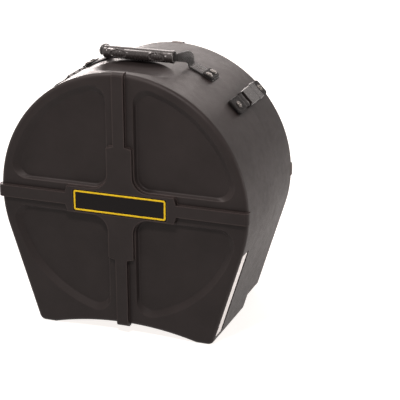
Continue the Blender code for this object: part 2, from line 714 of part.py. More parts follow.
def buckle_prong(name, side, finish):
    """One springy arm of the plug with its catch, about its root; side is 1 or -1."""
    half = PRONG_THICKNESS / 2
    root_angle = degrees(acos(half / PRONG_ROOT_RADIUS))
    outline = arc((0, 0), PRONG_ROOT_RADIUS, -root_angle, 180 + root_angle, 9)
    outline += [(-half, -PRONG_LENGTH + PRONG_TIP), (PRONG_TIP - half, -PRONG_LENGTH),
                (half - PRONG_TIP / 2, -PRONG_LENGTH), (half, -WING_END),
                (WING_REACH - WING_ROUND, -WING_CREST), (WING_REACH, -WING_CREST + WING_ROUND),
                (WING_REACH, -WING_START - WING_ROUND), (WING_REACH - WING_ROUND, -WING_START),
                (half, -WING_START)]
    outline = [(side * x, y) for x, y in outline]
    if side < 0:
        outline.reverse()
    height = SOCKET_HEIGHT - 2 * CAVITY_FLOOR - 2 * GAP
    return prism(name, outline, flat, 0, height, finish)


def strap_set(place, angle, front, rear, finishes):
    """All pieces of one strap: two anchors with their rivets, two lengths of webbing, and the buckle."""
    holder = bpy.data.objects.new("strap frame " + place, None)
    bpy.context.scene.collection.objects.link(holder)
    holder.location = (0, 0, CENTRE_HEIGHT)
    holder.rotation_euler = (0, radians(90 - angle), 0)
    under_arch = place == "bottom"
    base = FOOT_DROP - ARCH_RISE if under_arch else FRONT_RADIUS
    seat = GAP + (sag(ANCHOR_WIDTH / 2, arch_radius()) if under_arch else 0)
    inner_seat = GAP if under_arch else GAP + sag(WASHER_RADIUS, base - WALL) + facet_sag(base)
    double = 2 * WEB_THICKNESS
    plate_top = seat + double + GAP + ANCHOR_COVER

    for half, shell, level, start, length, rivet_place in (
            ("front", front, base, ANCHOR_START, ANCHOR_LENGTH, ANCHOR_RIVET_PLACE),
            ("rear", rear, base - REAR_INSET, REAR_ANCHOR_START, REAR_ANCHOR_LENGTH,
             REAR_ANCHOR_LENGTH / 2)):
        tag = half + "_" + place
        plate = anchor_plate("anchor_" + tag, length, finishes["buckle"])
        put(plate, holder, 0, start, level + seat)
        if half == "front":
            webbing = front_webbing("webbing_" + tag, seat, finishes["webbing"])
        else:
            webbing = rear_webbing("webbing_" + tag, seat, finishes["webbing"])
        put(webbing, holder, 0, 0, base)
        clamp = plate_top + GAP + WALL + inner_seat + WASHER_THICKNESS + GAP
        rivet = rivet_solid("rivet_" + tag, clamp, finishes["rivet"])
        place_along = start + rivet_place
        put(rivet, holder, 0, place_along, level + plate_top + GAP)
        washer_ring = washer("washer_" + tag, finishes["rivet"])
        put(washer_ring, holder, 0, place_along, level - WALL - inner_seat)
        hole = put(rivet_hole("hole " + tag), holder, 0, place_along, level)
        cut(shell, hole)
        cut(plate, hole)
        cut(webbing, hole)

    put(buckle_socket("buckle_socket_" + place, seat, finishes["buckle"]), holder, 0, 0, base)
    put(buckle_plug("buckle_plug_" + place, seat, finishes["buckle"]), holder, 0, 0, base)
    pivot = PLUG_START + PRONG_PIVOT_SETBACK
    for side, label in ((1, "a"), (-1, "b")):
        prong = buckle_prong("prong_" + label + "_" + place, side, finishes["buckle"])
        put(prong, holder, side * PRONG_PIVOT_SIDE, pivot, base + seat + CAVITY_FLOOR + GAP)


def strap_foot():
    """Where the strap's foot bend meets the shell: the bend's centre x and height, and the angle."""
    height = sqrt((strap_ride() + STRAP_FOOT_BEND) ** 2 - STRAP_FOOT_REACH ** 2)
    return STRAP_FOOT_REACH, height, atan2(height, STRAP_FOOT_REACH)


def strap_ride():
    """Radius of the strap's middle line where it lies on the shell."""
    return FRONT_RADIUS + GAP + STRAP_THICKNESS / 2


def between(low, high, share):
    return low + (high - low) * share


def strap_path():
    """The right half of the handle strap, outwards from its middle.

    Each station is (middle point, direction, turn about X, width, thickness). The strap runs through the
    grip on edge, curves back and down, lays itself flat in the bend at its foot, and ends on the shell.
    """
    outwards = Vector((1, 0, 0))
    axis = FRONT_RADIUS + GRIP_AXIS_RISE
    stations = [(at(STRAP_RUN * share, GRIP_PLACE, axis), outwards, pi / 2, STRAP_FOLDED_WIDTH,
                 STRAP_FOLDED_THICKNESS) for share in STRAP_RUN_SHARES]
    foot_x, foot_z, contact = strap_foot()
    start = at(STRAP_RUN, GRIP_PLACE, axis)
    end = at(foot_x - STRAP_FOOT_BEND, HANDLE_PLACE, foot_z)
    over = start + outwards * STRAP_RUN_PULL
    above = end + Vector((0, 0, STRAP_FOOT_PULL))
    for i in range(1, STRAP_CURVE_STEPS + 1):
        share = i / STRAP_CURVE_STEPS
        rest = 1 - share
        point = (start * rest ** 3 + over * 3 * share * rest ** 2 + above * 3 * share ** 2 * rest
                 + end * share ** 3)
        along = ((over - start) * rest ** 2 + (above - over) * 2 * share * rest
                 + (end - above) * share ** 2).normalized()
        stations.append((point, along, atan2(along.y, -along.z),
                         between(STRAP_FOLDED_WIDTH, STRAP_BUNCHED_WIDTH, share),
                         between(STRAP_FOLDED_THICKNESS, STRAP_THICKNESS, share)))
    steps = 5
    for i in range(1, steps + 1):
        turn = contact * i / steps
        point = at(foot_x - STRAP_FOOT_BEND * cos(turn), HANDLE_PLACE, foot_z - STRAP_FOOT_BEND * sin(turn))
        stations.append((point, Vector((sin(turn), 0, -cos(turn))), 0,
                         between(STRAP_BUNCHED_WIDTH, STRAP_WIDTH, i / steps), STRAP_THICKNESS))
    ride = strap_ride()
    for i in range(1, steps + 1):
        angle = contact - STRAP_TAIL / ride * i / steps
        stations.append((at(ride * cos(angle), HANDLE_PLACE, ride * sin(angle)),
                         Vector((sin(angle), 0, -cos(angle))), 0, STRAP_WIDTH, STRAP_THICKNESS))
    return stations


def strap_section(station, side):
    """The four corners of the strap's section at a station, mirrored for the left side."""
    point, along, turn, width, thickness = station
    wide = Vector((0, cos(turn), sin(turn))) * width / 2
    out = along.cross(wide).normalized() * thickness / 2
    corners = []
    for layer, edge in ((1, -1), (1, 1), (-1, 1), (-1, -1)):
        corner = point + out * layer + wide * edge
        corners.append(Vector((side * corner.x, corner.y, corner.z)))
    return corners


def handle_strap(finish):
    right = strap_path()
    left = [strap_section(station, -1) for station in reversed(right[1:])]
    return loft("handle_strap", left + [strap_section(station, 1) for station in right], finish)


def grip_radius_share(along):
    """The grip has a rounded collar at each end and swells a little in the middle."""
    end = GRIP_LENGTH / 2
    from_end = end - abs(along)
    if from_end < GRIP_COLLAR:
        return 1 if from_end > GRIP_COLLAR / 8 else GRIP_MOUTH_SHARE
    return GRIP_BODY_SHARE + GRIP_SWELL_SHARE * cos(pi * along / (end - GRIP_COLLAR))


def grip_rib(along, turn):
    """How far the ribbed pads on the grip's front and rear stand in or out at a point."""
    lift = -GRIP_RIB
    for centre in (-GRIP_PAD_SPACING / 2, GRIP_PAD_SPACING / 2):
        u = (along - centre) / GRIP_PAD_HALF_LENGTH
        v = GRIP_RADIUS * sin(turn) / GRIP_PAD_HALF_HEIGHT
        if u * u + v * v < 1:
            wave = (u + 1) / 2 * GRIP_RIBS
            return 0 if wave % 1 < 0.5 else lift
    return 0


def grip_stations():
    """Places along the grip that its rings need: the ends, the collars and the edges of the ribs."""
    end = GRIP_LENGTH / 2
    stations = [-end, -end + GRIP_COLLAR / 4, -end + GRIP_COLLAR, end - GRIP_COLLAR,
                end - GRIP_COLLAR / 4, end]
    for centre in (-GRIP_PAD_SPACING / 2, GRIP_PAD_SPACING / 2):
        half_rib = GRIP_PAD_HALF_LENGTH / GRIP_RIBS
        for i in range(2 * GRIP_RIBS + 1):
            stations.append(centre - GRIP_PAD_HALF_LENGTH + half_rib * i)
    stations.append(0)
    return sorted(stations)


def handle_grip(finish):
    """The moulded grip: a tube along X with ribbed oval pads, over the folded strap."""
    sides = 16
    axis = FRONT_RADIUS + GRIP_AXIS_RISE
    rings = []
    for along in grip_stations():
        share = grip_radius_share(along)
        ring = []
        for i in range(sides):
            turn = 2 * pi * i / sides
            reach = GRIP_RADIUS * share + grip_rib(along, turn)
            ring.append(at(along, GRIP_PLACE + reach * cos(turn), axis + reach * sin(turn)))
        rings.append(ring)
    grip = loft("handle_grip", rings, finish)
    end = GRIP_LENGTH / 2
    bore = []
    for along, flare in ((-end - OVERRUN, 1), (-end, 1), (-end + BORE_FLARE_LENGTH, 0),
                         (end - BORE_FLARE_LENGTH, 0), (end, 1), (end + OVERRUN, 1)):
        thick = BORE_HALF_THICKNESS + BORE_FLARE * flare
        bore.append([at(along, GRIP_PLACE + y * thick, axis + z * BORE_HALF_HEIGHT)
                     for y, z in ((-1, -1), (1, -1), (1, 1), (-1, 1))])
    cut(grip, loft("grip bore", bore))
    return grip


def clamp_plate(name, length, width, thickness, finish):
    """A plate for two rivets in a line along Y, its lower face at height 0."""
    return prism(name, rounded(length, width, CLAMP_CORNER), flat, 0, thickness, finish)


def handle_anchor(place, side, strap, shell, finishes):
    """The riveted plates that clamp one end of the handle strap to the front half."""
    angle = strap_foot()[2] - (CLAMP_SETBACK + CLAMP_LENGTH / 2) / FRONT_RADIUS
    holder = bpy.data.objects.new("handle frame " + place, None)
    bpy.context.scene.collection.objects.link(holder)
    holder.location = (0, 0, CENTRE_HEIGHT)
    holder.rotation_euler = (0, side * (pi / 2 - angle), 0)
    seat = FRONT_RADIUS + GAP + STRAP_THICKNESS + GAP
    plate = clamp_plate("handle_clamp_" + place, CLAMP_LENGTH, CLAMP_WIDTH, CLAMP_THICKNESS,
                        finishes["buckle"])
    soften(plate, CLAMP_THICKNESS / 3)
    put(plate, holder, 0, HANDLE_PLACE, seat)
    inside = FRONT_RADIUS - WALL
    drop = GAP + sag(BACKING_LENGTH / 2, inside) + facet_sag(inside)
    backing = clamp_plate("handle_backing_" + place, BACKING_LENGTH, BACKING_WIDTH, WASHER_THICKNESS,
                          finishes["rivet"])
    put(backing, holder, 0, HANDLE_PLACE, inside - drop - WASHER_THICKNESS)
    head = seat + CLAMP_THICKNESS + GAP
    clamp = head - (inside - drop - WASHER_THICKNESS) + GAP
    for row, label in ((-1, "front"), (1, "rear")):
        depth = HANDLE_PLACE + row * CLAMP_RIVET_SPACING / 2
        rivet = rivet_solid("handle_rivet_" + place + "_" + label, clamp, finishes["rivet"])
        put(rivet, holder, 0, depth, head)
        hole = put(rivet_hole("handle hole " + place + " " + label), holder, 0, depth, FRONT_RADIUS)
        cut(shell, hole)
        cut(plate, hole)
        cut(strap, hole)
        cut(backing, hole)


def settle():
    """Applies each piece's modifiers and splits its shading at its real edges."""
    bpy.context.view_layer.update()
    graph = bpy.context.evaluated_depsgraph_get()
    pieces = [item for item in bpy.data.objects if item.type == "MESH" and not item.hide_render]
    final = [bpy.data.meshes.new_from_object(piece.evaluated_get(graph)) for piece in pieces]
    for piece, mesh in zip(pieces, final):
        piece.modifiers.clear()
        mesh.shade_smooth()
        mesh.set_sharp_from_angle(angle=radians(SHARP_ANGLE))
        mesh.name = piece.name
        piece.data = mesh
    for item in list(bpy.data.objects):
        if item.type == "MESH" and item.hide_render:
            bpy.data.objects.remove(item, do_unlink=True)


def build():
    clear_scene()
    finishes = {
        "shell": material("moulded black plastic", (0.030, 0.024, 0.023), 0.42),
        "webbing": material("black webbing", (0.014, 0.013, 0.013), 0.85),
        "buckle": material("buckle plastic", (0.018, 0.016, 0.016), 0.35),
        "rivet": material("blackened rivet metal", (0.10, 0.095, 0.09), 0.30, 1.0),
        "rubber": material("grip rubber", (0.035, 0.031, 0.030), 0.60),
        "badge": material("badge black", (0.010, 0.009, 0.009), 0.30),
        "yellow": material("badge yellow", (0.80, 0.55, 0.03), 0.40),
        "label": material("label white", (0.88, 0.87, 0.85), 0.45),
    }
    front = front_half(finishes["shell"])
    rear = rear_half(finishes["shell"])
    badge(front, finishes["badge"], finishes["yellow"])
    side_label(front, finishes["label"])
    for place, angle in BUCKLE_PLACES.items():
        strap_set(place, angle, front, rear, finishes)
    strap = handle_strap(finishes["webbing"])
    handle_grip(finishes["rubber"])
    handle_anchor("right", 1, strap, front, finishes)
    handle_anchor("left", -1, strap, front, finishes)
    settle()


build()
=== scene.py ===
from math import acos, atan2, cos, degrees, pi, radians, sin, sqrt, tan

import bmesh
import bpy
from mathutils import Matrix, Vector
from mathutils.geometry import tessellate_polygon


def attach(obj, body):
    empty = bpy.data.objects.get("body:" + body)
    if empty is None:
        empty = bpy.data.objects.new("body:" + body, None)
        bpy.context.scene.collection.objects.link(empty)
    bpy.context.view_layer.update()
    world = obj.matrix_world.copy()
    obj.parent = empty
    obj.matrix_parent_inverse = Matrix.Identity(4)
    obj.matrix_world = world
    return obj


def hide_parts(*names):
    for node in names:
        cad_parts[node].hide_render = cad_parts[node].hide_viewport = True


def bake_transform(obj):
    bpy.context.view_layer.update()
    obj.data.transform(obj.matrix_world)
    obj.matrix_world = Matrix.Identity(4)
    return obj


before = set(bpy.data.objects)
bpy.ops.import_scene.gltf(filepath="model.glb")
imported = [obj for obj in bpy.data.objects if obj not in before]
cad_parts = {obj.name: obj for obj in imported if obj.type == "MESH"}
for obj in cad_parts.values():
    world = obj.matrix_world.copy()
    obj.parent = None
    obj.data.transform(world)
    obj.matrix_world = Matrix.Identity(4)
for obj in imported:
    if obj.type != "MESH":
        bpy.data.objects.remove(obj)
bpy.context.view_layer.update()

# Camera, fitted to the photograph; lens and sensor in millimetres
CAMERA_TARGET = Vector((0.14175, -0.136, 0.261625))
CAMERA_AZIMUTH = 20.631
CAMERA_ELEVATION = 19.818
CAMERA_ROLL = -0.356
CAMERA_DISTANCE = 2.5254
CAMERA_LENS = 138.11
CAMERA_SENSOR = 36

# Case halves
GAP = 0.0003
OVERRUN = 0.012
FRONT_RADIUS = 0.225
FOOT_DROP = 0.238
TAPER_ANGLE = 17.45
FOOT_CORNER = 0.012
LEAST_CORNER = 0.002
FOOT_FLAT = 0.020
ARCH_RISE = 0.017
FRONT_DEPTH = 0.160
REAR_DEPTH = 0.112
WALL = 0.0045
EDGE_RADIUS = 0.0075
RIM_CHAMFER = 0.001
REAR_INSET = 0.009
LIP_DEPTH = 0.022
LIP_DRAW = 0.0015
LIP_RAMP = 0.004
SHOULDER_BITE = 0.0015
SHOULDER_WIDTH = 0.0045
SHOULDER_RAMP = 0.003
SHOULDER_ROUND = 0.0008

# Relief on both end faces
ARM_HALF_WIDTH = 0.0245
RECESS_MARGIN = 0.016
RECESS_DEPTH = 0.0075
RECESS_CORNER = 0.026
RECESS_ARC_SLOPE = 0.011
RECESS_SIDE_SLOPE = 0.003
RECESS_TOP_ROUND = 0.0016
RECESS_FOOT_ROUND = 0.0030
BAND_HALF_WIDTH = 0.0105
BAND_HEIGHT = 0.0065
BAND_WRAP = 0.010
BAND_PROUD = 0.003
REAR_BAND_PROUD = 0.0005
BAND_EDGE = 0.0014
BAND_SKIN = 0.0015              # how far the raised cross is sunk into the face
PLATEAU_HALF_WIDTH = 0.023
PLATEAU_REACH = 0.101
PLATEAU_CHAMFER = 0.004
PLATEAU_SLOPE = 0.0045

# Hand dish under the grip
DISH_AHEAD = 0.078
DISH_HALF_LENGTH = 0.093
DISH_HALF_WIDTH = 0.036
DISH_FLOOR = 0.014
DISH_RIM = 0.002
DISH_SOFTNESS = 0.005
DISH_CELL = 0.0015
DISH_BOWL_SHARE = 0.62          # the power that rounds the bowl's section

# Badge and write-on label
BADGE_LENGTH = 0.171
BADGE_WIDTH = 0.0392
BADGE_CORNER = 0.003
BADGE_CENTRE_X = -0.001
BADGE_CENTRE_Z = -0.001
BADGE_POCKET = 0.0022
LABEL_START = 0.0078
LABEL_WIDTH = 0.033
LABEL_TOP = -0.0705
LABEL_BOTTOM = -0.223
LABEL_POCKET = 0.0013
LABEL_CORNER = 0.003
LABEL_CARD_WIDTH = 0.0245       # the rest of the pocket is a groove along the card's rear edge, lined with painted shade
LABEL_GROOVE_SHADE_THICKNESS = 0.0004

# Strap buckles: two at the shoulders and one under the arch
STRAP_ANGLES = {"right": 43.1, "left": 136.9, "bottom": -90.0}
WEB_WIDTH = 0.025
WEB_THICKNESS = 0.0016
WEB_HALF = WEB_THICKNESS / 2
ANCHOR_AHEAD = 0.048
ANCHOR_WIDTH = 0.030
ANCHOR_COVER = 0.0024
ANCHOR_CORNER = 0.005
ANCHOR_RIVET_PLACE = 0.018
REAR_ANCHOR_MARGIN = 0.0115
REAR_ANCHOR_LENGTH = 0.0295
REAR_STRAP_RUN = 0.0132
SOCKET_LENGTH = 0.0455
BAR_WIDTH = 0.0035
BAR_HEIGHT = 0.003
PLUG_LENGTH = 0.0255
WASHER_RADIUS = 0.0080
WASHER_THICKNESS = 0.0012
RIVET_HEAD_RADIUS = 0.0062
RIVET_HEAD_HEIGHT = 0.0026
RIVET_SHANK_RADIUS = 0.0024
RIVET_TAIL_RADIUS = 0.0040
RIVET_TAIL_HEIGHT = 0.0011
RIVET_RIM_SHARE = 0.78          # the dome's foot, of the head's radius
RIVET_DISH_SHARES = ((0.1, 0.78), (0.35, 0.80), (0.5, 0.93), (0.62, 1))    # of foot and height
RIVET_DOME_ANGLES = (20, 45, 70, 90)
RIVET_FLANGE_SHARE = 0.7        # of the flange's height, below its rounding

# Handle: webbing through a moulded grip, which has flopped forwards and rests on the crown
HANDLE_SETBACK = 0.023
HANDLE_LEAN = 0.045
GRIP_LENGTH = 0.127
GRIP_AXIS_RISE = 0.0112
GRIP_RADIUS = 0.0108
GRIP_COLLAR = 0.008
GRIP_COLLAR_ROUND = 0.0014
GRIP_BODY_SHARE = 0.95          # of the collar's radius
GRIP_SWELL_SHARE = 0.035
GRIP_PAD_SPACING = 0.070
GRIP_PAD_HALF_LENGTH = 0.0175
GRIP_PAD_HALF_HEIGHT = 0.0085
GRIP_PAD_INSIDE_SHARES = (0.78, 0.86)    # where the ribs end, and where the rim rises and falls again
GRIP_PAD_RIM_SHARES = (0.74, 0.86, 0.94, 1.04)
GRIP_PAD_RIM = 0.0007
GRIP_RIB = 0.0012
GRIP_RIB_SPACING = 0.0048
GRIP_RIB_POWER = 1.5            # narrows the ribs
GRIP_CELL = 0.0005
BORE_HALF_HEIGHT = 0.0074
BORE_HALF_THICKNESS = 0.0031
BORE_FLARE = 0.0012
BORE_FLARE_LENGTH = 0.010
BORE_CORNER = 0.0024
STRAP_WIDTH = 0.033
STRAP_THICKNESS = 0.0025
STRAP_BUNCHED_WIDTH = 0.026
STRAP_FOLDED_WIDTH = 0.0135
STRAP_FOLDED_THICKNESS = 0.0052
STRAP_RUN = 0.0680
STRAP_FOOT_REACH = 0.0835
STRAP_FOOT_BEND = 0.006
STRAP_RUN_PULL = 0.0105
STRAP_FOOT_PULL = 0.0165
STRAP_TAIL = 0.0435
CLAMP_SETBACK = 0.021
CLAMP_LENGTH = 0.021
CLAMP_THICKNESS = 0.0024
CLAMP_RIVET_SPACING = 0.020
BACKING_LENGTH = 0.018
STRAP_PUCKER = 0.0011           # how far the strap's edges curl where it is bunched

# Edges: how far they are rounded, and the angles in degrees at which a surface is sharp
EDGE_SOFTNESS = 0.0004
BUCKLE_SOFTNESS = 0.0010
SHARP_ANGLE = 35
TURNED_SHARP_ANGLE = 40
GRIP_SHARP_ANGLE = 50
WEB_SHARP_ANGLE = 60
RELIEF_EDGE_ANGLE = 40
ROUNDED_ANGLE = 30
FLAT_WEIGHT = 60
WELD = 1e-6
CUT_WELD = GAP / 10             # before edges that cuts have left are bevelled
NODE_WELD = GAP / 30
SOLID_FACETS = 48               # round the solids' circles
QUARTERS = ((1, 1), (-1, 1), (-1, -1), (1, -1))

CENTRE_HEIGHT = FOOT_DROP
ARCH_DROP = FOOT_DROP - ARCH_RISE
BODY_DEPTH = FRONT_DEPTH + REAR_DEPTH
FACE_Y = -BODY_DEPTH / 2
RECESS_RADIUS = FRONT_RADIUS - RECESS_MARGIN
HANDLE_PLACE = FRONT_DEPTH - HANDLE_SETBACK
GRIP_PLACE = HANDLE_PLACE - HANDLE_LEAN
DISH_PLACE = HANDLE_PLACE - DISH_AHEAD
LABEL_LENGTH = (LABEL_TOP - LABEL_BOTTOM) / cos(radians(TAPER_ANGLE))
GRIP_AXIS = FRONT_RADIUS + GRIP_AXIS_RISE
STRAP_RIDE = FRONT_RADIUS + GAP + STRAP_THICKNESS / 2    # radius of the strap's middle on the shell

REAR_ANCHOR_START = BODY_DEPTH - REAR_ANCHOR_MARGIN - REAR_ANCHOR_LENGTH
PLUG_END = REAR_ANCHOR_START - REAR_STRAP_RUN
SOCKET_START = PLUG_END - PLUG_LENGTH - GAP - SOCKET_LENGTH
ANCHOR_START = SOCKET_START - ANCHOR_AHEAD

# Shell plastic
SHELL_SHINE = 0.14
SHELL_COLOURS = ((0.0180, 0.0144, 0.0140), (0.0232, 0.0188, 0.0184))
SHELL_COLOUR_GRAIN = 0.05
# Painted shade: the colour darkens towards this in grooves and hollows, within the reach below
SHELL_PAINTED_SHADE = (0.006, 0.004, 0.004)
SHELL_PAINTED_SHADE_REACH = 0.009
# Lighter colour along convex edges, within this reach and share: rubbed wear and painted highlight
SHELL_EDGE_WEAR_AND_HIGHLIGHT = (0.085, 0.066, 0.062)
SHELL_EDGE_WEAR_AND_HIGHLIGHT_REACH = 0.0022
SHELL_EDGE_WEAR_AND_HIGHLIGHT_SHARE = 0.9
SHELL_ROUGHNESS = (0.43, 0.51)
SHELL_ROUGHNESS_NOISE = (0.012, 5, 0.6)
SHELL_BUMPS = ((0.09, 1, 0.0016), (0.0011, 2, 0.00015))    # grain, detail and height

# Webbing
WEB_SHINE = 0.35
WEB_SHEEN = 0.25
WEB_SHEEN_ROUGHNESS = 0.4
WEB_COLOURS = ((0.004, 0.0036, 0.0036), (0.024, 0.022, 0.022))
WEB_COLOUR_GRAIN = 0.002
WEB_COLOUR_SHARE = 0.35         # of the grain; the rest follows the yarns' height, as painted shade between them and painted highlight on their tops
WEB_ROUGHNESS = (0.55, 0.8)
WEB_ROUGHNESS_GRAIN = 0.001
WEB_ROW = 0.0016
WEB_YARN = 0.0011
WEB_YARN_HEIGHT = 0.0004
WEB_FUZZ = (0.0004, 2, 0.00006)

# Plain surfaces, as (name, shine, metal, colours, roughness, bump); colours and roughness are given as
# (grain, detail, from, to), and the bump as (grain, detail, height)
STEEL = ("blackened steel", 0.5, 1, (0.004, 3, (0.102, 0.0952, 0.08925), (0.12, 0.112, 0.105)),
         (0.0012, 4, 0.24, 0.40), (0.0009, 3, 0.00002))
TAB = ("rough tab", 0.12, 0, (0.0016, 4, (0.003, 0.0025, 0.0025), (0.010, 0.0085, 0.0083)),
       (0.002, 4, 0.5, 0.8), (0.0014, 3, 0.0007))

# Hard plastics, as (name, shine, colour, roughness)
PLASTICS = {"buckle": ("buckle plastic", 0.5, (0.013, 0.0105, 0.0102), 0.27),
            "grip": ("grip rubber", 0.5, (0.027, 0.0232, 0.0226), 0.25),
            "badge": ("badge black", 0.1, (0.005, 0.004, 0.004), 0.35),
            "border": ("badge yellow", 0.2, (0.80, 0.54, 0.015), 0.45),
            "card": ("card white", 0.3, (0.86, 0.84, 0.81), 0.45),
            # The groove shade is painted shade: a black sheet without shine in the label pocket's groove
            "groove_shade": ("groove shade black", 0.0, (0.006, 0.005, 0.005), 0.8)}
PLASTIC_COLOUR_GRAIN = 0.006
PLASTIC_LIGHTER_SHARE = 1.2
PLASTIC_LIGHTEST = 0.95
PLASTIC_ROUGHNESS_GRAIN = 0.003
PLASTIC_ROUGHNESS_SPREAD = (-0.02, 0.04)
PLASTIC_BUMP = (0.0007, 2, 0.00003)

NOISE_RANGE = (0.3, 0.7)        # where most of a noise's values lie
OPENNESS_SAMPLES = 8

# CAD nodes that stay in view, by how their names start: material, and how far their edges are rounded
FITTINGS = (("washer", "rivet", EDGE_SOFTNESS / 2), ("handle_backing", "rivet", EDGE_SOFTNESS / 2),
            ("anchor", "tab", EDGE_SOFTNESS), ("handle_clamp", "tab", EDGE_SOFTNESS),
            ("buckle", "buckle", BUCKLE_SOFTNESS), ("prong", "buckle", EDGE_SOFTNESS),
            ("badge_plate", "badge", 0), ("badge_border", "border", EDGE_SOFTNESS))

# Studio: the lamps are (name, place, size, power) and all shine at the case's middle
FLOOR_SIZE = 16.0
FLOOR_COLOUR = (0.5, 0.5, 0.5)
FLOOR_GLOW = (1, 0.955, 0.925)
FLOOR_LIFT = 0.92               # the glow's strength
WORLD_COLOUR = (1, 0.945, 0.915)
WORLD_LIGHT = 0.15
WORLD_SEEN = 1.1                # the backdrop's strength, so that its warm tint still shows as white
LAMP_COLOUR = (1, 0.905, 0.875)
LAMPS = (("key", (-1.2, -0.5, 2.6), 0.35, 50), ("front", (0.2, -0.75, 1.1), 0.12, 8),
         ("back", (-0.4, 2.4, 1.6), 2.0, 46), ("back left, low", (-1.5, 2.3, 0.4), 0.6, 24),
         ("right", (2.4, 0.3, 0.4), 0.8, 26))


def arc(centre, radius, start, end, steps):
    angles = [radians(start + (end - start) * i / steps) for i in range(steps + 1)]
    return [(centre[0] + radius * cos(a), centre[1] + radius * sin(a)) for a in angles]


def rounded(width, height, corner, steps=6):
    """A rectangle with round corners about (0, 0), anticlockwise."""
    x = width / 2 - corner
    z = height / 2 - corner
    points = []
    for turn, (sx, sz) in enumerate(QUARTERS):
        points += arc((sx * x, sz * z), corner, 90 * turn, 90 * turn + 90, steps)
    return points


def sag(half_width, radius):
    return radius - sqrt(radius ** 2 - half_width ** 2)


def at(x, depth, height):
    """A point of the case: depth from the front face, height above the circle's centre."""
    return Vector((x, FACE_Y + depth, CENTRE_HEIGHT + height))


def skin(mesh, rings, ends=False):
    """Faces between rings of points with the same count, and with ends also over the first and last."""
    loops = [[mesh.verts.new(point) for point in ring] for ring in rings]
    for low, high in zip(loops, loops[1:]):
        for i, corner in enumerate(low):
            j = (i + 1) % len(low)
            mesh.faces.new((corner, low[j], high[j], high[i]))
    if ends:
        mesh.faces.new(loops[0])
        mesh.faces.new(list(reversed(loops[-1])))


def flat_face(mesh, outer, holes=()):
    """A flat face with holes, as triangles."""
    loops = [outer, *holes]
    triangles = tessellate_polygon(loops)
    corners = [mesh.verts.new(point) for loop in loops for point in loop]
    for triangle in triangles:
        mesh.faces.new([corners[i] for i in triangle])


def placed(name, data):
    """A new object in the scene."""
    piece = bpy.data.objects.new(name, data)
    bpy.context.scene.collection.objects.link(piece)
    return piece


def finished(name, mesh, sharp=SHARP_ANGLE):
    """An object from a bmesh, smooth but for its sharp edges."""
    bmesh.ops.remove_doubles(mesh, verts=mesh.verts, dist=WELD)
    bmesh.ops.recalc_face_normals(mesh, faces=mesh.faces)
    data = bpy.data.meshes.new(name)
    mesh.to_mesh(data)
    mesh.free()
    data.shade_smooth()
    data.set_sharp_from_angle(angle=radians(sharp))
    return placed(name, data)


def solid(name, rings, sharp=SHARP_ANGLE):
    mesh = bmesh.new()
    skin(mesh, rings, ends=True)
    return finished(name, mesh, sharp)


def keep_flats(piece):
    step = piece.modifiers.new("flat faces stay flat", "WEIGHTED_NORMAL")
    step.keep_sharp = True
    step.weight = FLAT_WEIGHT


def boolean(piece, tool, operation):
    """Cuts or keeps what a tool covers, and uses the tool up."""
    step = piece.modifiers.new(tool.name, "BOOLEAN")
    step.operation = operation
    step.solver = "EXACT"
    step.object = tool
    graph = bpy.context.evaluated_depsgraph_get()
    data = bpy.data.meshes.new_from_object(piece.evaluated_get(graph))
    piece.modifiers.clear()
    piece.data = data
    bpy.data.objects.remove(tool, do_unlink=True)


def foot_corner(inset):
    corner = max(FOOT_CORNER - inset, LEAST_CORNER)
    lean = radians(TAPER_ANGLE)
    height = inset - FOOT_DROP + corner
    return corner, (FRONT_RADIUS - inset - corner + sin(lean) * height) / cos(lean), height


def crown():
    """Points round the circular part for a radius of 1, closer together over the hand dish."""
    dish = degrees(DISH_HALF_LENGTH / FRONT_RADIUS)
    right = arc((0, 0), 1, -TAPER_ANGLE, 90 - dish, round(90 - dish + TAPER_ANGLE))
    middle = arc((0, 0), 1, 90 - dish, 90 + dish, round(2 * DISH_HALF_LENGTH / DISH_CELL))
    left = [(-x, z) for x, z in reversed(right)]
    return right[:-1] + middle + left[1:]


CROWN = crown()
ARCH_HALF_WIDTH = foot_corner(0)[1] - FOOT_FLAT
ARCH_RADIUS = (ARCH_HALF_WIDTH ** 2 + ARCH_RISE ** 2) / (2 * ARCH_RISE)


def case_outline(inset):
    """The case seen from the front, a distance inside the front half's outer surface."""
    radius = FRONT_RADIUS - inset
    corner, corner_x, corner_z = foot_corner(inset)
    points = arc((corner_x, corner_z), corner, -90, -TAPER_ANGLE, 8)
    points += [(radius * x, radius * z) for x, z in CROWN]
    points += arc((-corner_x, corner_z), corner, 180 + TAPER_ANGLE, 270, 8)
    steps = 40
    for i in range(steps + 1):
        x = ARCH_HALF_WIDTH * (2 * i / steps - 1)
        points.append((x, inset - ARCH_DROP - sag(abs(x), ARCH_RADIUS)))
    return points


def dish_height(x, depth, height, grow):
    """The crown's height where the hand dish draws it down, with a soft rim."""
    along = x / (DISH_HALF_LENGTH + grow)
    across = (depth - DISH_PLACE) / (DISH_HALF_WIDTH + grow)
    reach = along ** 2 + across ** 2
    rim = FRONT_RADIUS - DISH_RIM
    if reach < 1:
        bowl = rim - (DISH_FLOOR - DISH_RIM + grow) * (1 - reach) ** DISH_BOWL_SHARE
    else:
        bowl = rim + (sqrt(reach) - 1) * DISH_HALF_WIDTH
    overlap = max(DISH_SOFTNESS - abs(height - bowl), 0) / DISH_SOFTNESS
    return min(height, bowl) - overlap ** 2 * DISH_SOFTNESS / 4


def case_rings(stations, grow=None):
    """Rings of the outline at (depth, inset) stations; grow is set where the hand dish shapes them."""
    rings = []
    for depth, inset in stations:
        ring = []
        for x, z in case_outline(inset):
            if grow is not None and z > FRONT_RADIUS / 2:
                z = dish_height(x, depth, z, grow)
            ring.append(at(x, depth, z))
        rings.append(ring)
    return rings


def edge_stations(inset, face, inward, steps=8):
    """The rounded edge of an end face, as (depth, inset) stations from the face inwards."""
    angles = [radians(90 * i / steps) for i in range(steps + 1)]
    return [(face + inward * EDGE_RADIUS * (1 - cos(a)), inset + EDGE_RADIUS * (1 - sin(a)))
            for a in angles]


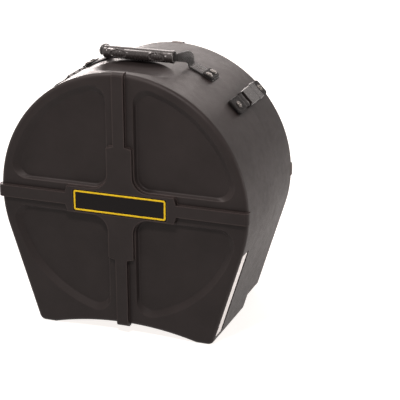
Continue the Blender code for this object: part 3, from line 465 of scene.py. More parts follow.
def wall_profile(width, steps=5):
    """A recess's sloped wall with rounded ends, as (offset, level) from its upper edge to its foot."""
    slope = atan2(RECESS_DEPTH, width)
    points = []
    for radius, start, end, flip in ((RECESS_TOP_ROUND, 0, slope, 1), (RECESS_FOOT_ROUND, slope, 0, -1)):
        reach = radius * tan(slope / 2)
        corner = (0, 0) if flip > 0 else (width, RECESS_DEPTH)
        centre = (corner[0] - flip * reach, corner[1] + flip * radius)
        for i in range(steps + 1):
            a = start + (end - start) * i / steps
            points.append((centre[0] + flip * radius * sin(a), centre[1] - flip * radius * cos(a)))
    return points


def recess_loop(arc_radius, side, corner, steps=10):
    """One recess as (x, z, arc share), in the first quadrant; the share is 1 where the broad wall is."""
    reach = sqrt((arc_radius - corner) ** 2 - (side + corner) ** 2)
    swing = degrees(atan2(side + corner, reach))
    points = [(x, z, 0) for x, z in arc((side + corner, side + corner), corner, 180, 270, steps)]
    turn = arc((reach, side + corner), corner, 270, 360 + swing, steps)
    ease = [(1 - cos(pi * i / steps)) / 2 for i in range(steps + 1)]
    points += [(x, z, share) for (x, z), share in zip(turn, ease)]
    points += [(x, z, 1) for x, z in arc((0, 0), arc_radius, swing, 90 - swing, 4 * steps)][1:-1]
    turn = arc((side + corner, reach), corner, 90 - swing, 180, steps)
    points += [(x, z, 1 - share) for (x, z), share in zip(turn, ease)]
    return points


def recess_rings(arc_radius, side, sx, sz, place):
    """The rings of one recess, from its upper rounded edge down to its floor."""
    rings = []
    for (arc_offset, arc_level), (side_offset, side_level) in zip(
            wall_profile(RECESS_ARC_SLOPE), wall_profile(RECESS_SIDE_SLOPE)):
        loop = recess_loop(arc_radius - arc_offset, side + side_offset, RECESS_CORNER - side_offset)
        rings.append([place(sx * x, sz * z, side_level + (arc_level - side_level) * share)
                      for x, z, share in loop])
    return rings


def relief_outline(beyond, shrink, steps):
    """The raised cross: a wide plateau in the middle, and on each arm a narrow band to beyond the edge."""
    edge = FRONT_RADIUS + beyond
    bottom = ARCH_DROP + beyond
    band = BAND_HALF_WIDTH - shrink
    wide = PLATEAU_HALF_WIDTH - shrink
    reach = PLATEAU_REACH - shrink
    centre = RECESS_CORNER + ARM_HALF_WIDTH
    points = []
    for turn, (start, end) in enumerate(((edge, edge), (edge, edge), (edge, bottom), (bottom, edge))):
        quarter = [(start, band), (reach, band), (reach, wide - PLATEAU_CHAMFER),
                   (reach - PLATEAU_CHAMFER, wide)]
        quarter += arc((centre, centre), centre - wide, 270, 180, steps)
        quarter += [(wide, reach - PLATEAU_CHAMFER), (wide - PLATEAU_CHAMFER, reach),
                    (band, reach), (band, end)]
        turned_by = Matrix.Rotation(radians(90 * turn), 2)
        points += [tuple(turned_by @ Vector(point)) for point in quarter]
    return points


def end_face(mesh, face, inward, inset, level):
    """One end face, at level 0, or its inner side with the bulges behind recesses and cross."""
    def place(x, z, deep):
        return at(x, face + inward * (level + deep), z)

    forms = [recess_rings(RECESS_RADIUS - inset + level, ARM_HALF_WIDTH - level, sx, sz, place)
             for sx, sz in QUARTERS]
    inset += EDGE_RADIUS
    if level > 0:
        outline = relief_outline(-inset - RIM_CHAMFER, WALL, 8)
        forms.append([[place(x, z, deep) for x, z in outline] for deep in (0, -BAND_HEIGHT)])
    for rings in forms:
        skin(mesh, rings)
        flat_face(mesh, rings[-1])
    flat_face(mesh, [place(x, z, 0) for x, z in case_outline(inset)], [rings[0] for rings in forms])


def relief(name, face, inward, inset, proud):
    """The raised cross of one end face, wrapping over the edge at its four ends, as a thin skin."""
    outline = relief_outline(OVERRUN - inset, 0, 12)
    piece = solid(name, [[at(x, face + inward * level, z) for x, z in outline]
                         for level in (-BAND_HEIGHT, BAND_WRAP + OVERRUN)])
    stations = [(face - inward * (BAND_HEIGHT + OVERRUN), inset + EDGE_RADIUS)]
    stations += edge_stations(inset - proud, face - inward * BAND_HEIGHT, inward)[1:]
    stations += [(face + inward * (BAND_WRAP - proud), inset - proud),
                 (face + inward * (BAND_WRAP + proud), inset + proud)]
    boolean(piece, solid(name + " reach", case_rings(stations)), "INTERSECT")
    slope_shoulders(piece, face, inward)
    round_relief(piece, face, inward, inset, proud)
    stations = [(face + inward * BAND_SKIN, inset + EDGE_RADIUS),
                (face + inward * EDGE_RADIUS, inset + BAND_SKIN),
                (face + inward * (BAND_WRAP + OVERRUN), inset + BAND_SKIN)]
    boolean(piece, solid(name + " core", case_rings(stations)), "DIFFERENCE")
    return piece


def bevel(piece, chosen, width, segments, clamped):
    """Bevels the edges for which chosen(edge, its middle) holds."""
    mesh = bmesh.new()
    mesh.from_mesh(piece.data)
    bmesh.ops.remove_doubles(mesh, verts=mesh.verts, dist=CUT_WELD)
    edges = [edge for edge in mesh.edges if chosen(edge, (edge.verts[0].co + edge.verts[1].co) / 2)]
    bmesh.ops.bevel(mesh, geom=edges, offset=width, segments=segments, profile=0.5, affect="EDGES",
                    clamp_overlap=clamped)
    mesh.to_mesh(piece.data)
    mesh.free()


def slope_shoulders(piece, face, inward):
    """Slopes the plateau's shoulders down towards the narrow bands."""
    def at_shoulder(_, middle):
        level = (middle.y - FACE_Y - face) * inward
        across, along = sorted((abs(middle.x), abs(middle.z - CENTRE_HEIGHT)))
        return level < GAP - BAND_HEIGHT and abs(along - PLATEAU_REACH) < GAP and across > BAND_HALF_WIDTH

    bevel(piece, at_shoulder, PLATEAU_SLOPE, 1, False)


def round_relief(piece, face, inward, inset, proud):
    """Rounds the cross's outer edges, on the face and where it wraps over the edge."""
    def on_outside(edge, middle):
        if len(edge.link_faces) != 2 or edge.calc_face_angle() < radians(RELIEF_EDGE_ANGLE):
            return False
        level = (middle.y - FACE_Y - face) * inward
        out = sqrt(middle.x ** 2 + (middle.z - CENTRE_HEIGHT) ** 2) - (FRONT_RADIUS - inset)
        if middle.z < CENTRE_HEIGHT - FRONT_RADIUS / 2:
            out = CENTRE_HEIGHT - middle.z - (ARCH_DROP - inset)
        return level < -BAND_HEIGHT / 2 or (out > proud / 2 and level < BAND_WRAP - proud / 2)

    bevel(piece, on_outside, BAND_EDGE, 3, True)


def rounded_prism(name, width, height, corner, place, start, end):
    outline = rounded(width, height, corner)
    return solid(name, [[place(u, v, w) for u, v in outline] for w in (start, end)])


def cut_pocket(piece, length, width, corner, place, start, end):
    """A pocket with a gap all round what lies in it."""
    tool = rounded_prism("pocket", length + 2 * GAP, width + 2 * GAP, corner + GAP, place, start, end)
    boolean(piece, tool, "DIFFERENCE")


def badge_place(x, z, level):
    return at(x + BADGE_CENTRE_X, level, z + BADGE_CENTRE_Z)


def label_place(u, v, out):
    """A point of the leaning right side: up along the label, in depth across it, and outwards."""
    lean = radians(TAPER_ANGLE)
    middle = ((LABEL_TOP + LABEL_BOTTOM) / 2 + FRONT_RADIUS * sin(lean)) / cos(lean)
    outwards = Vector((cos(lean), 0, -sin(lean)))
    along = Vector((sin(lean), 0, cos(lean)))
    point = along * (middle + u) + outwards * (FRONT_RADIUS + out)
    return at(point.x, LABEL_START + LABEL_WIDTH / 2 + v, point.z)


def side_card(materials):
    """The white card in its pocket on the right side, and painted shade on the pocket's floor: a black
    sheet without shine.
    """
    def card_place(u, v, out):
        return label_place(u, v - (LABEL_WIDTH - LABEL_CARD_WIDTH) / 2, out)

    card = rounded_prism("label_card", LABEL_LENGTH, LABEL_CARD_WIDTH, LABEL_CORNER, card_place,
                         GAP - LABEL_POCKET, 0)
    soften(card, EDGE_SOFTNESS)
    paint(card, materials["card"])
    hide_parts("side_label")
    # A black sheet without shine on the pocket's floor: painted shade for the groove beside the card
    groove_shade = rounded_prism("label_groove_shade", LABEL_LENGTH, LABEL_WIDTH, LABEL_CORNER, label_place,
                           GAP - LABEL_POCKET, LABEL_GROOVE_SHADE_THICKNESS - LABEL_POCKET)
    paint(groove_shade, materials["groove_shade"])
    for piece in (card, groove_shade):
        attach(piece, "front_case")


def front_half():
    """The front half: face, rounded edge, crown with the hand dish, mouth and inside, and its cross."""
    mesh = bmesh.new()
    end_face(mesh, 0, 1, 0, 0)
    reach = DISH_HALF_WIDTH + 2 * DISH_SOFTNESS
    count = round(2 * reach / DISH_CELL)
    dish = [DISH_PLACE - reach + 2 * reach * i / count for i in range(count + 1)]
    outer = edge_stations(0, 0, 1) + [(depth, 0) for depth in dish]
    outer += [(FRONT_DEPTH - RIM_CHAMFER, 0), (FRONT_DEPTH - RIM_CHAMFER / 3, RIM_CHAMFER / 3),
              (FRONT_DEPTH, RIM_CHAMFER), (FRONT_DEPTH, WALL - RIM_CHAMFER / 2),
              (FRONT_DEPTH - RIM_CHAMFER / 2, WALL)]
    skin(mesh, case_rings(outer, 0))
    inner = outer[-1:] + [(depth, WALL) for depth in reversed(dish[::2])]
    inner += [(2 * EDGE_RADIUS, WALL), (EDGE_RADIUS, WALL), (WALL, EDGE_RADIUS)]
    skin(mesh, case_rings(inner, WALL))
    end_face(mesh, 0, 1, 0, WALL)
    piece = finished("case_front", mesh)
    cut_pocket(piece, LABEL_LENGTH, LABEL_WIDTH, LABEL_CORNER, label_place, -LABEL_POCKET, OVERRUN)
    cross = relief("front_cross", 0, 1, 0, BAND_PROUD)
    cut_pocket(cross, BADGE_LENGTH, BADGE_WIDTH, BADGE_CORNER, badge_place,
               -BAND_HEIGHT - OVERRUN, BADGE_POCKET - BAND_HEIGHT)
    return piece, cross


def rear_half():
    """The rear half: face, rounded edge, stop shoulder, lip and inside, and its cross."""
    stop = FRONT_DEPTH + GAP
    lip = REAR_INSET + LIP_DRAW
    lip_end = FRONT_DEPTH - LIP_DEPTH
    shoulder = WALL - SHOULDER_BITE
    mesh = bmesh.new()
    end_face(mesh, BODY_DEPTH, -1, REAR_INSET, 0)
    outer = edge_stations(REAR_INSET, BODY_DEPTH, -1)
    outer += [(stop + SHOULDER_WIDTH + SHOULDER_RAMP, REAR_INSET),
              (stop + SHOULDER_WIDTH, shoulder + SHOULDER_ROUND / 2),
              (stop + SHOULDER_WIDTH - SHOULDER_ROUND, shoulder),
              (stop + SHOULDER_ROUND, shoulder), (stop, shoulder + SHOULDER_ROUND), (stop, lip),
              (lip_end + RIM_CHAMFER, lip), (lip_end, lip + RIM_CHAMFER),
              (lip_end, lip + WALL - RIM_CHAMFER / 2), (lip_end + RIM_CHAMFER / 2, lip + WALL),
              (FRONT_DEPTH, lip + WALL), (FRONT_DEPTH + LIP_RAMP, REAR_INSET + WALL),
              (BODY_DEPTH - EDGE_RADIUS, REAR_INSET + WALL),
              (BODY_DEPTH - WALL, REAR_INSET + EDGE_RADIUS)]
    skin(mesh, case_rings(outer))
    end_face(mesh, BODY_DEPTH, -1, REAR_INSET, WALL)
    return (finished("case_rear", mesh),
            relief("rear_cross", BODY_DEPTH, -1, REAR_INSET, REAR_BAND_PROUD))


def between(low, high, share):
    return low + (high - low) * share


def smooth_step(low, high, value):
    share = min(max((value - low) / (high - low), 0), 1)
    return share * share * (3 - 2 * share)


def grip_radius(along, turn):
    """The grip's outer radius: rounded collars, a slight swell, and ribbed oval pads front and rear."""
    from_end = GRIP_LENGTH / 2 - abs(along)
    body = GRIP_BODY_SHARE + GRIP_SWELL_SHARE * cos(pi * along / GRIP_LENGTH)
    share = between(1, body, smooth_step(GRIP_COLLAR - GRIP_COLLAR_ROUND, GRIP_COLLAR, from_end))
    radius = GRIP_RADIUS * share
    if from_end < GRIP_COLLAR_ROUND:
        radius -= GRIP_COLLAR_ROUND - sqrt(GRIP_COLLAR_ROUND ** 2 - (GRIP_COLLAR_ROUND - from_end) ** 2)
    near = along - GRIP_PAD_SPACING / 2 * (1 if along > 0 else -1)
    high = GRIP_RADIUS * sin(turn)
    reach = sqrt((near / GRIP_PAD_HALF_LENGTH) ** 2 + (high / GRIP_PAD_HALF_HEIGHT) ** 2)
    inside = 1 - smooth_step(*GRIP_PAD_INSIDE_SHARES, reach)
    rim = smooth_step(*GRIP_PAD_RIM_SHARES[:2], reach) * (1 - smooth_step(*GRIP_PAD_RIM_SHARES[2:], reach))
    rib = ((1 + cos(2 * pi * near / GRIP_RIB_SPACING)) / 2) ** GRIP_RIB_POWER
    return radius + GRIP_PAD_RIM * rim - GRIP_RIB * inside * (1 - rib)


def bore_ring(along, flare, steps):
    """The bore's section, with as many points as the grip's rings have."""
    thickness = 2 * (BORE_HALF_THICKNESS + BORE_FLARE * flare)
    outline = rounded(thickness, 2 * BORE_HALF_HEIGHT, BORE_CORNER, steps)
    return [at(along, GRIP_PLACE + y, GRIP_AXIS + z) for y, z in outline]


def handle_grip():
    """The grip: its outside and its bore in one closed run of rings."""
    steps = 21
    turns = [pi / 2 * (corner + (step + 0.5) / (steps + 1))
             for corner in range(4) for step in range(steps + 1)]
    end = GRIP_LENGTH / 2
    straight = GRIP_LENGTH - 2 * GRIP_COLLAR_ROUND
    count = round(GRIP_LENGTH / GRIP_CELL)
    places = [-end + GRIP_COLLAR_ROUND * (1 - cos(pi / 8 * i)) for i in range(4)]
    places += [-end + GRIP_COLLAR_ROUND + straight * i / count for i in range(count + 1)]
    places += [-place for place in reversed(places[:4])]
    rings = []
    for along in places:
        profile = [(grip_radius(along, turn), turn) for turn in turns]
        rings.append([at(along, GRIP_PLACE + radius * cos(turn), GRIP_AXIS + radius * sin(turn))
                      for radius, turn in profile])
    inner = end - BORE_FLARE_LENGTH
    rings += [bore_ring(along, flare, steps)
              for along, flare in ((end, 1), (inner, 0), (-inner, 0), (-end, 1))]
    mesh = bmesh.new()
    skin(mesh, rings + rings[:1])
    return finished("carry_grip", mesh, GRIP_SHARP_ANGLE)


def strap_path():
    """The right half of the handle strap: (middle, direction, turn about X, width, thickness)."""
    outwards = Vector((1, 0, 0))
    folded = (STRAP_FOLDED_WIDTH, STRAP_FOLDED_THICKNESS)
    steps = 12
    stations = [(at(STRAP_RUN * i / steps, GRIP_PLACE, GRIP_AXIS), outwards, pi / 2, *folded)
                for i in range(steps + 1)]
    foot_z = sqrt((STRAP_RIDE + STRAP_FOOT_BEND) ** 2 - STRAP_FOOT_REACH ** 2)
    contact = atan2(foot_z, STRAP_FOOT_REACH)
    start = at(STRAP_RUN, GRIP_PLACE, GRIP_AXIS)
    end = at(STRAP_FOOT_REACH - STRAP_FOOT_BEND, HANDLE_PLACE, foot_z)
    over = start + outwards * STRAP_RUN_PULL
    above = end + Vector((0, 0, STRAP_FOOT_PULL))
    loop_steps = 32
    for i in range(1, loop_steps + 1):
        share = i / loop_steps
        before = start.lerp(over, share).lerp(over.lerp(above, share), share)
        after = over.lerp(above, share).lerp(above.lerp(end, share), share)
        along = (after - before).normalized()
        stations.append((before.lerp(after, share), along, atan2(along.y, -along.z),
                         between(STRAP_FOLDED_WIDTH, STRAP_BUNCHED_WIDTH, share),
                         between(STRAP_FOLDED_THICKNESS, STRAP_THICKNESS, share)))
    for i in range(1, steps + 1):
        turn = contact * i / steps
        point = at(STRAP_FOOT_REACH - STRAP_FOOT_BEND * cos(turn), HANDLE_PLACE,
                   foot_z - STRAP_FOOT_BEND * sin(turn))
        stations.append((point, Vector((sin(turn), 0, -cos(turn))), 0,
                         between(STRAP_BUNCHED_WIDTH, STRAP_WIDTH, i / steps), STRAP_THICKNESS))
    for i in range(1, steps + 1):
        angle = contact - STRAP_TAIL / STRAP_RIDE * i / steps
        stations.append((at(STRAP_RIDE * cos(angle), HANDLE_PLACE, STRAP_RIDE * sin(angle)),
                         Vector((sin(angle), 0, -cos(angle))), 0, STRAP_WIDTH, STRAP_THICKNESS))
    return stations


def woven(name, rings, travels, girths):
    """A strap through rings, with a map in metres: along the strap, and round its section."""
    mesh = bmesh.new()
    layer = mesh.loops.layers.uv.new("weave")
    skin(mesh, rings, ends=True)
    for index, face in enumerate(list(mesh.faces)[:-2]):
        ring, i = divmod(index, len(rings[0]))
        corners = ((ring, i), (ring, i + 1), (ring + 1, i + 1), (ring + 1, i))
        for loop, (k, j) in zip(face.loops, corners):
            loop[layer].uv = (travels[k], girths[k][j])
    return finished(name, mesh, WEB_SHARP_ANGLE)


def strap_section(width, thickness, pucker):
    """The section of a flat strap with round edges, as (across, out) points and their distances round."""
    round_steps = 5
    flat_steps = 10
    radius = thickness / 2
    half = width / 2 - radius
    points = [(half * (1 - 2 * i / flat_steps), radius) for i in range(flat_steps)]
    points += arc((-half, 0), radius, 90, 270, round_steps)[:-1]
    points += [(half * (2 * i / flat_steps - 1), -radius) for i in range(flat_steps)]
    points += arc((half, 0), radius, -90, 90, round_steps)[:-1]
    curled = [(u, w + pucker * (cos(2 * pi * u / width) - 0.5)) for u, w in points]
    girths = [0]
    for (u, w), (v, t) in zip(points, points[1:] + points[:1]):
        girths.append(girths[-1] + sqrt((u - v) ** 2 + (w - t) ** 2))
    return curled, [girth - width / 2 for girth in girths]


def handle_strap():
    """The webbing of the handle, from one riveted end through the grip's bore to the other."""
    stations = strap_path()
    rings = []
    travels = []
    girths = []
    travel = 0
    last = stations[0][0]
    for point, along, turn, width, thickness in stations:
        travel += (point - last).length
        last = point
        bunched = smooth_step(STRAP_RUN, STRAP_RUN + GRIP_COLLAR, travel)
        bunched *= 1 - smooth_step(STRAP_WIDTH - STRAP_FOOT_BEND, STRAP_WIDTH, width)
        section, girth = strap_section(width, thickness, STRAP_PUCKER * bunched)
        wide = Vector((0, cos(turn), sin(turn)))
        out = along.cross(wide).normalized()
        rings.append([point + wide * u + out * w for u, w in section])
        travels.append(travel)
        girths.append(girth)
    left = [[Vector((-x, y, z)) for x, y, z in ring] for ring in reversed(rings[1:])]
    return woven("carry_strap", left + rings, [-travel for travel in travels[:0:-1]] + travels,
                 girths[:0:-1] + girths)


def filleted(points, radius, steps=4):
    """A path of straight runs with its corners rounded, as vectors."""
    points = [Vector(point) for point in points]
    path = [points[0]]
    for last, corner, after in zip(points, points[1:], points[2:]):
        back = last - corner
        ahead = after - corner
        cut = min(radius, back.length / 2, ahead.length / 2)
        start = corner + back.normalized() * cut
        end = corner + ahead.normalized() * cut
        for i in range(steps + 1):
            share = i / steps
            path.append(start.lerp(corner, share).lerp(corner.lerp(end, share), share))
    return path + [points[-1]]


def shell_place(angle):
    """A place function at an angle round the case: across it, depth, and height above the centre."""
    a = radians(angle)

    def place(x, depth, height):
        return at(x * sin(a) + height * cos(a), depth, height * sin(a) - x * cos(a))
    return place


def web_loop(low, bar_start, direction):
    """The middle line of webbing round a buckle's bar, in (depth, height), from the lower layer up."""
    tip = bar_start + direction * (BAR_WIDTH + GAP + WEB_HALF)
    top = low + 3 * WEB_HALF + 2 * GAP + BAR_HEIGHT
    return [(tip, low + WEB_HALF), (tip, top), (bar_start - direction * GAP, top),
            (bar_start - direction * BAR_WIDTH, low + 3 * WEB_HALF)]


def front_path(seat):
    start = ANCHOR_START + ANCHOR_CORNER / 2
    return [(start, seat + WEB_HALF), *web_loop(seat, SOCKET_START, 1), (start, seat + 3 * WEB_HALF)]


def rear_path(seat):
    steps = 10
    slope = [(between(PLUG_END + BAR_WIDTH, REAR_ANCHOR_START, i / steps),
              seat - REAR_INSET * smooth_step(0, steps, i)) for i in range(1, steps + 1)]
    slope.append((REAR_ANCHOR_START + REAR_ANCHOR_LENGTH - ANCHOR_CORNER / 2, slope[-1][1]))
    lower = [(depth, height + WEB_HALF) for depth, height in reversed(slope)]
    upper = [(depth, height + 3 * WEB_HALF) for depth, height in slope]
    return lower + web_loop(seat, PLUG_END, -1) + upper


def ribbon(name, path, place, base):
    """A length of flat webbing with round edges along a path of (depth, height)."""
    path = filleted(path, WEB_THICKNESS)
    path = [point for point, last in zip(path[1:], path) if (point - last).length > GAP / 3]
    section, girth = strap_section(WEB_WIDTH, WEB_THICKNESS, 0)
    rings = []
    travels = [0]
    for i, point in enumerate(path):
        before = path[max(i - 1, 0)]
        along = (path[min(i + 1, len(path) - 1)] - before).normalized()
        out = Vector((-along.y, along.x))
        rings.append([place(u, point.x + out.x * w, base + point.y + out.y * w) for u, w in section])
        travels.append(travels[-1] + (point - before).length)
    return woven(name, rings, travels[1:], [girth] * len(rings))


def rivet(name, clamp, place, depth, height, sides=40):
    """A rivet with a dished head on a thin flange, and a rolled tail inside the case."""
    tail = -clamp - RIVET_TAIL_HEIGHT
    rim = RIVET_RIM_SHARE * RIVET_HEAD_RADIUS
    flange = RIVET_HEAD_HEIGHT / 4
    profile = [(out * rim, up * RIVET_HEAD_HEIGHT) for out, up in RIVET_DISH_SHARES]
    dome = RIVET_DISH_SHARES[-1][0]
    profile += [(rim * (dome + (1 - dome) * sin(radians(a))),
                 flange + (RIVET_HEAD_HEIGHT - flange) * cos(radians(a))) for a in RIVET_DOME_ANGLES]
    profile += [(RIVET_HEAD_RADIUS - flange / 3, flange), (RIVET_HEAD_RADIUS, RIVET_FLANGE_SHARE * flange),
                (RIVET_HEAD_RADIUS, 0), (RIVET_SHANK_RADIUS, 0), (RIVET_SHANK_RADIUS, -clamp),
                (RIVET_TAIL_RADIUS, -clamp), (RIVET_TAIL_RADIUS, tail + RIVET_TAIL_HEIGHT / 2),
                (RIVET_TAIL_RADIUS - RIVET_TAIL_HEIGHT / 2, tail), (RIVET_SHANK_RADIUS / 2, tail)]
    turns = [2 * pi * i / sides for i in range(sides)]
    return solid(name, [[place(radius * cos(t), depth + radius * sin(t), height + level) for t in turns]
                        for radius, level in profile], TURNED_SHARP_ANGLE)


def facet_sag(radius):
    """How far the flats of the solids' circles lie inside them."""
    return radius * (1 - cos(pi / SOLID_FACETS))


def strap_pieces(side, materials):
    """The webbing and rivets of one strap."""
    place = shell_place(STRAP_ANGLES[side])
    under_arch = side == "bottom"
    base = ARCH_DROP if under_arch else FRONT_RADIUS
    seat = GAP + (sag(ANCHOR_WIDTH / 2, ARCH_RADIUS) if under_arch else 0)
    inner = GAP if under_arch else GAP + sag(WASHER_RADIUS, base - WALL) + facet_sag(base)
    plate_top = seat + 2 * WEB_THICKNESS + GAP + ANCHOR_COVER
    clamp = plate_top + GAP + WALL + inner + WASHER_THICKNESS + GAP
    for half, body, path, depth, level in (
            ("front", "front_case", front_path(seat), ANCHOR_START + ANCHOR_RIVET_PLACE, base),
            ("rear", "rear_case", rear_path(seat), REAR_ANCHOR_START + REAR_ANCHOR_LENGTH / 2,
             base - REAR_INSET)):
        tag = half + "_" + side
        web = ribbon("web_" + tag, path, place, base)
        head = rivet("stud_" + tag, clamp, place, depth, level + plate_top + GAP)
        for piece, node, slot in ((web, "webbing_" + tag, "webbing"), (head, "rivet_" + tag, "rivet")):
            paint(piece, materials[slot])
            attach(piece, body)
            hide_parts(node)


def handle_rivets(side, materials):
    contact = degrees(acos(STRAP_FOOT_REACH / (STRAP_RIDE + STRAP_FOOT_BEND)))
    angle = contact - degrees((CLAMP_SETBACK + CLAMP_LENGTH / 2) / FRONT_RADIUS)
    place = shell_place(angle if side == "right" else 180 - angle)
    head = FRONT_RADIUS + GAP + STRAP_THICKNESS + GAP + CLAMP_THICKNESS + GAP
    inside = FRONT_RADIUS - WALL
    drop = GAP + sag(BACKING_LENGTH / 2, inside) + facet_sag(inside)
    clamp = head - (inside - drop - WASHER_THICKNESS) + GAP
    for row, label in ((-1, "front"), (1, "rear")):
        tag = side + "_" + label
        piece = rivet("stud_" + tag, clamp, place, HANDLE_PLACE + row * CLAMP_RIVET_SPACING / 2, head)
        paint(piece, materials["rivet"])
        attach(piece, "front_case")
        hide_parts("handle_rivet_" + tag)


def soften(piece, width):
    """Rounds a CAD node's real edges and keeps its flats flat."""
    weld = piece.modifiers.new("weld", "WELD")
    weld.merge_threshold = NODE_WELD
    step = piece.modifiers.new("rounded edges", "BEVEL")
    step.width = width
    step.segments = 3
    step.limit_method = "ANGLE"
    step.angle_limit = radians(ROUNDED_ANGLE)
    step.use_clamp_overlap = True
    keep_flats(piece)


class Tree:
    """The nodes of a material or world, with inputs given as numbers, colours or outputs."""

    def __init__(self, owner):
        owner.use_nodes = True
        self.nodes = owner.node_tree.nodes
        self.link = owner.node_tree.links.new

    def feed(self, socket, value):
        if isinstance(value, bpy.types.NodeSocket):
            self.link(value, socket)
        elif socket.type == "RGBA":
            socket.default_value = (*value, 1)
        else:
            socket.default_value = value

    def set(self, node, **inputs):
        for name, value in inputs.items():
            self.feed(node.inputs[name.replace("_", " ")], value)
        return node

    def new(self, kind, **inputs):
        return self.set(self.nodes.new(kind), **inputs)

    def maths(self, operation, *values):
        node = self.new("ShaderNodeMath")
        node.operation = operation
        for socket, value in zip(node.inputs, values):
            self.feed(socket, value)
        return node.outputs[0]

    def seen_directly(self):
        """1 for camera, glossy and transmission rays, 0 for those that carry light to the object."""
        path = self.new("ShaderNodeLightPath")
        total = path.outputs["Is Camera Ray"]
        for name in ("Is Glossy Ray", "Is Transmission Ray"):
            total = self.maths("MAXIMUM", total, path.outputs[name])
        return total


class Surface(Tree):
    """A Principled material."""

    def __init__(self, name, **inputs):
        self.material = bpy.data.materials.new(name)
        super().__init__(self.material)
        self.shader = self.set(self.nodes["Principled BSDF"], **inputs)
        self.place = self.new("ShaderNodeTexCoord").outputs["Object"]

    def noise(self, size, detail=3, roughness=0.5):
        """Noise whose grains are about this many metres."""
        return self.new("ShaderNodeTexNoise", Vector=self.place, Scale=1 / size, Detail=detail,
                        Roughness=roughness).outputs["Fac"]

    def between(self, factor, low, high):
        """A number that follows a noise from low to high."""
        return self.new("ShaderNodeMapRange", Value=factor, From_Min=NOISE_RANGE[0],
                        From_Max=NOISE_RANGE[1], To_Min=low, To_Max=high).outputs["Result"]

    def mixed(self, first, second, share):
        """Two factors in one, with this share of the second."""
        first = self.maths("MULTIPLY", first, 1 - share)
        return self.maths("ADD", first, self.maths("MULTIPLY", second, share))

    def weave(self, row, yarn):
        """Height of woven yarns over the weave map, each row of them half a yarn on from the last."""
        place = self.new("ShaderNodeUVMap")
        place.uv_map = "weave"
        axes = self.new("ShaderNodeSeparateXYZ", Vector=place.outputs["UV"]).outputs
        rows = self.maths("MULTIPLY", axes["X"], 1 / row)
        shift = self.maths("MULTIPLY", self.maths("MODULO", self.maths("FLOOR", rows), 2), 0.5)
        yarns = self.maths("ADD", self.maths("MULTIPLY", axes["Y"], 1 / yarn), shift)
        heights = [self.maths("SINE", self.maths("MULTIPLY", self.maths("FRACT", share), pi))
                   for share in (rows, yarns)]
        return self.maths("MULTIPLY", *heights)

    def hemmed_in(self, reach, inside):
        """How open the surface is, from 1 down to 0 in grooves, or inside the solid under its edges."""
        node = self.new("ShaderNodeAmbientOcclusion", Distance=reach)
        node.inside = inside
        node.samples = OPENNESS_SAMPLES
        return node.outputs["AO"]

    def tint(self, first, second, factor):
        """A colour between two, which are colours or outputs."""
        node = self.new("ShaderNodeMix")
        node.data_type = "RGBA"
        return self.set(node, A=first, B=second, Factor=factor).outputs["Result"]

    def colours(self, factor, dark, light):
        self.set(self.shader, Base_Color=self.tint(dark, light, self.between(factor, 0, 1)))

    def roughness(self, factor, low, high):
        self.set(self.shader, Roughness=self.between(factor, low, high))

    def bump(self, *layers):
        """Bumps in layers of (factor, height in metres)."""
        normal = None
        for factor, height in layers:
            node = self.new("ShaderNodeBump", Strength=1, Distance=height, Height=factor)
            if normal is not None:
                self.set(node, Normal=normal)
            normal = node.outputs["Normal"]
        self.set(self.shader, Normal=normal)


def shell_plastic():
    """Satin black plastic, finely grained, with painted shade in its grooves, and lighter edges as rubbed
    wear and painted highlight.
    """
    made = Surface("moulded plastic", Specular_IOR_Level=SHELL_SHINE)
    body = made.tint(*SHELL_COLOURS, made.between(made.noise(SHELL_COLOUR_GRAIN), 0, 1))
    # Painted shade: darker where the surface is hemmed in, in grooves and hollows
    groove_shaded = made.tint(SHELL_PAINTED_SHADE, body, made.hemmed_in(SHELL_PAINTED_SHADE_REACH, False))
    # Lighter along convex edges: partly rubbed wear, partly painted highlight
    wear_and_highlight = made.maths("SUBTRACT", 1, made.hemmed_in(SHELL_EDGE_WEAR_AND_HIGHLIGHT_REACH, True))
    wear_and_highlight = made.maths("MULTIPLY", wear_and_highlight, SHELL_EDGE_WEAR_AND_HIGHLIGHT_SHARE)
    made.set(made.shader, Base_Color=made.tint(groove_shaded, SHELL_EDGE_WEAR_AND_HIGHLIGHT, wear_and_highlight))
    made.roughness(made.noise(*SHELL_ROUGHNESS_NOISE), *SHELL_ROUGHNESS)
    made.bump(*[(made.noise(grain, detail), height) for grain, detail, height in SHELL_BUMPS])
    return made.material


def plain_surface(name, shine, metal, colours, roughness, bump):
    made = Surface(name, Specular_IOR_Level=shine, Metallic=metal)
    made.colours(made.noise(*colours[:2]), *colours[2:])
    made.roughness(made.noise(*roughness[:2]), *roughness[2:])
    made.bump((made.noise(*bump[:2]), bump[2]))
    return made.material


def hard_plastic(name, shine, colour, roughness):
    """Injection-moulded plastic with a fine spark-eroded grain."""
    lighter = [min(PLASTIC_LIGHTER_SHARE * c, PLASTIC_LIGHTEST) for c in colour]
    spread = [roughness + change for change in PLASTIC_ROUGHNESS_SPREAD]
    return plain_surface(name, shine, 0, (PLASTIC_COLOUR_GRAIN, 3, colour, lighter),
                         (PLASTIC_ROUGHNESS_GRAIN, 4, *spread), PLASTIC_BUMP)


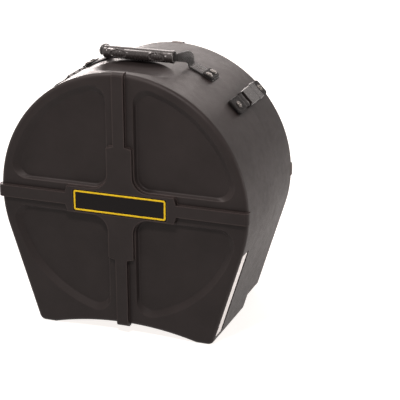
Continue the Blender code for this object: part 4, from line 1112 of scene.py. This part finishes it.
def webbing_cloth():
    """Black nylon webbing, in rows of round yarns across the strap, with painted shade between the yarns
    and painted highlight on their tops.
    """
    made = Surface("webbing", Specular_IOR_Level=WEB_SHINE, Sheen_Weight=WEB_SHEEN,
                   Sheen_Roughness=WEB_SHEEN_ROUGHNESS)
    yarn = made.weave(WEB_ROW, WEB_YARN)
    # Colour follows the yarns' height: painted shade between the yarns, painted highlight on their tops
    made.colours(made.mixed(yarn, made.noise(WEB_COLOUR_GRAIN), WEB_COLOUR_SHARE), *WEB_COLOURS)
    made.roughness(made.noise(WEB_ROUGHNESS_GRAIN), *WEB_ROUGHNESS)
    made.bump((yarn, WEB_YARN_HEIGHT), (made.noise(*WEB_FUZZ[:2]), WEB_FUZZ[2]))
    return made.material


def paint(piece, material):
    piece.data.materials.clear()
    piece.data.materials.append(material)


def make_camera():
    place = Matrix.Translation(CAMERA_TARGET)
    for angle, axis in ((CAMERA_AZIMUTH, "Z"), (90 - CAMERA_ELEVATION, "X"), (CAMERA_ROLL, "Z")):
        place @= Matrix.Rotation(radians(angle), 4, axis)
    data = bpy.data.cameras.new("camera")
    data.lens = CAMERA_LENS
    data.sensor_width = CAMERA_SENSOR
    camera = placed("camera", data)
    camera.matrix_world = place @ Matrix.Translation((0, 0, CAMERA_DISTANCE))
    bpy.context.scene.camera = camera


def make_world():
    world = bpy.data.worlds.new("studio")
    bpy.context.scene.world = world
    made = Tree(world)
    strength = made.new("ShaderNodeMapRange", Value=made.seen_directly(),
                        To_Min=WORLD_LIGHT, To_Max=WORLD_SEEN)
    made.set(made.nodes["Background"], Color=WORLD_COLOUR, Strength=strength.outputs["Result"])


def make_floor():
    mesh = bmesh.new()
    bmesh.ops.create_grid(mesh, x_segments=1, y_segments=1, size=FLOOR_SIZE / 2)
    floor = finished("floor", mesh)
    material = bpy.data.materials.new("floor white")
    made = Tree(material)
    made.nodes.remove(made.nodes["Principled BSDF"])
    diffuse = made.new("ShaderNodeBsdfDiffuse", Color=FLOOR_COLOUR)
    lift = made.maths("MULTIPLY", made.seen_directly(), FLOOR_LIFT)
    glow = made.new("ShaderNodeEmission", Color=FLOOR_GLOW, Strength=lift)
    both = made.new("ShaderNodeAddShader")
    made.link(diffuse.outputs[0], both.inputs[0])
    made.link(glow.outputs[0], both.inputs[1])
    made.set(made.nodes["Material Output"], Surface=both.outputs[0])
    paint(floor, material)


def soft_light(name, place, size, power):
    data = bpy.data.lights.new(name, "AREA")
    data.shape = "SQUARE"
    data.size = size
    data.energy = power
    data.color = LAMP_COLOUR
    light = placed(name, data)
    light.location = place
    light.rotation_mode = "QUATERNION"
    light.rotation_quaternion = (Vector((0, 0, CENTRE_HEIGHT)) - light.location).to_track_quat("-Z", "Y")


def dress():
    materials = {key: hard_plastic(*values) for key, values in PLASTICS.items()}
    materials.update(shell=shell_plastic(), webbing=webbing_cloth(), rivet=plain_surface(*STEEL),
                     tab=plain_surface(*TAB))
    front, front_cross = front_half()
    rear, rear_cross = rear_half()
    for piece, body in ((front, "front_case"), (front_cross, "front_case"), (rear, "rear_case"),
                        (rear_cross, "rear_case")):
        paint(piece, materials["shell"])
        piece.data.shade_smooth()
        piece.data.set_sharp_from_angle(angle=radians(SHARP_ANGLE))
        keep_flats(piece)
        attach(piece, body)
    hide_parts("front_shell")
    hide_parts("rear_shell")
    grip = handle_grip()
    paint(grip, materials["grip"])
    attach(grip, "handle_grip")
    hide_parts("handle_grip")
    strap = handle_strap()
    paint(strap, materials["webbing"])
    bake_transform(strap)
    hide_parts("handle_strap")
    side_card(materials)
    for side in STRAP_ANGLES:
        strap_pieces(side, materials)
    for side in ("right", "left"):
        handle_rivets(side, materials)
    for start, material, width in FITTINGS:
        for name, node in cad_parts.items():
            if name.startswith(start):
                paint(node, materials[material])
                if width > 0:
                    soften(node, width)


make_camera()
make_world()
make_floor()
for lamp in LAMPS:
    soft_light(*lamp)
dress()
bpy.context.scene.view_settings.view_transform = "Standard"
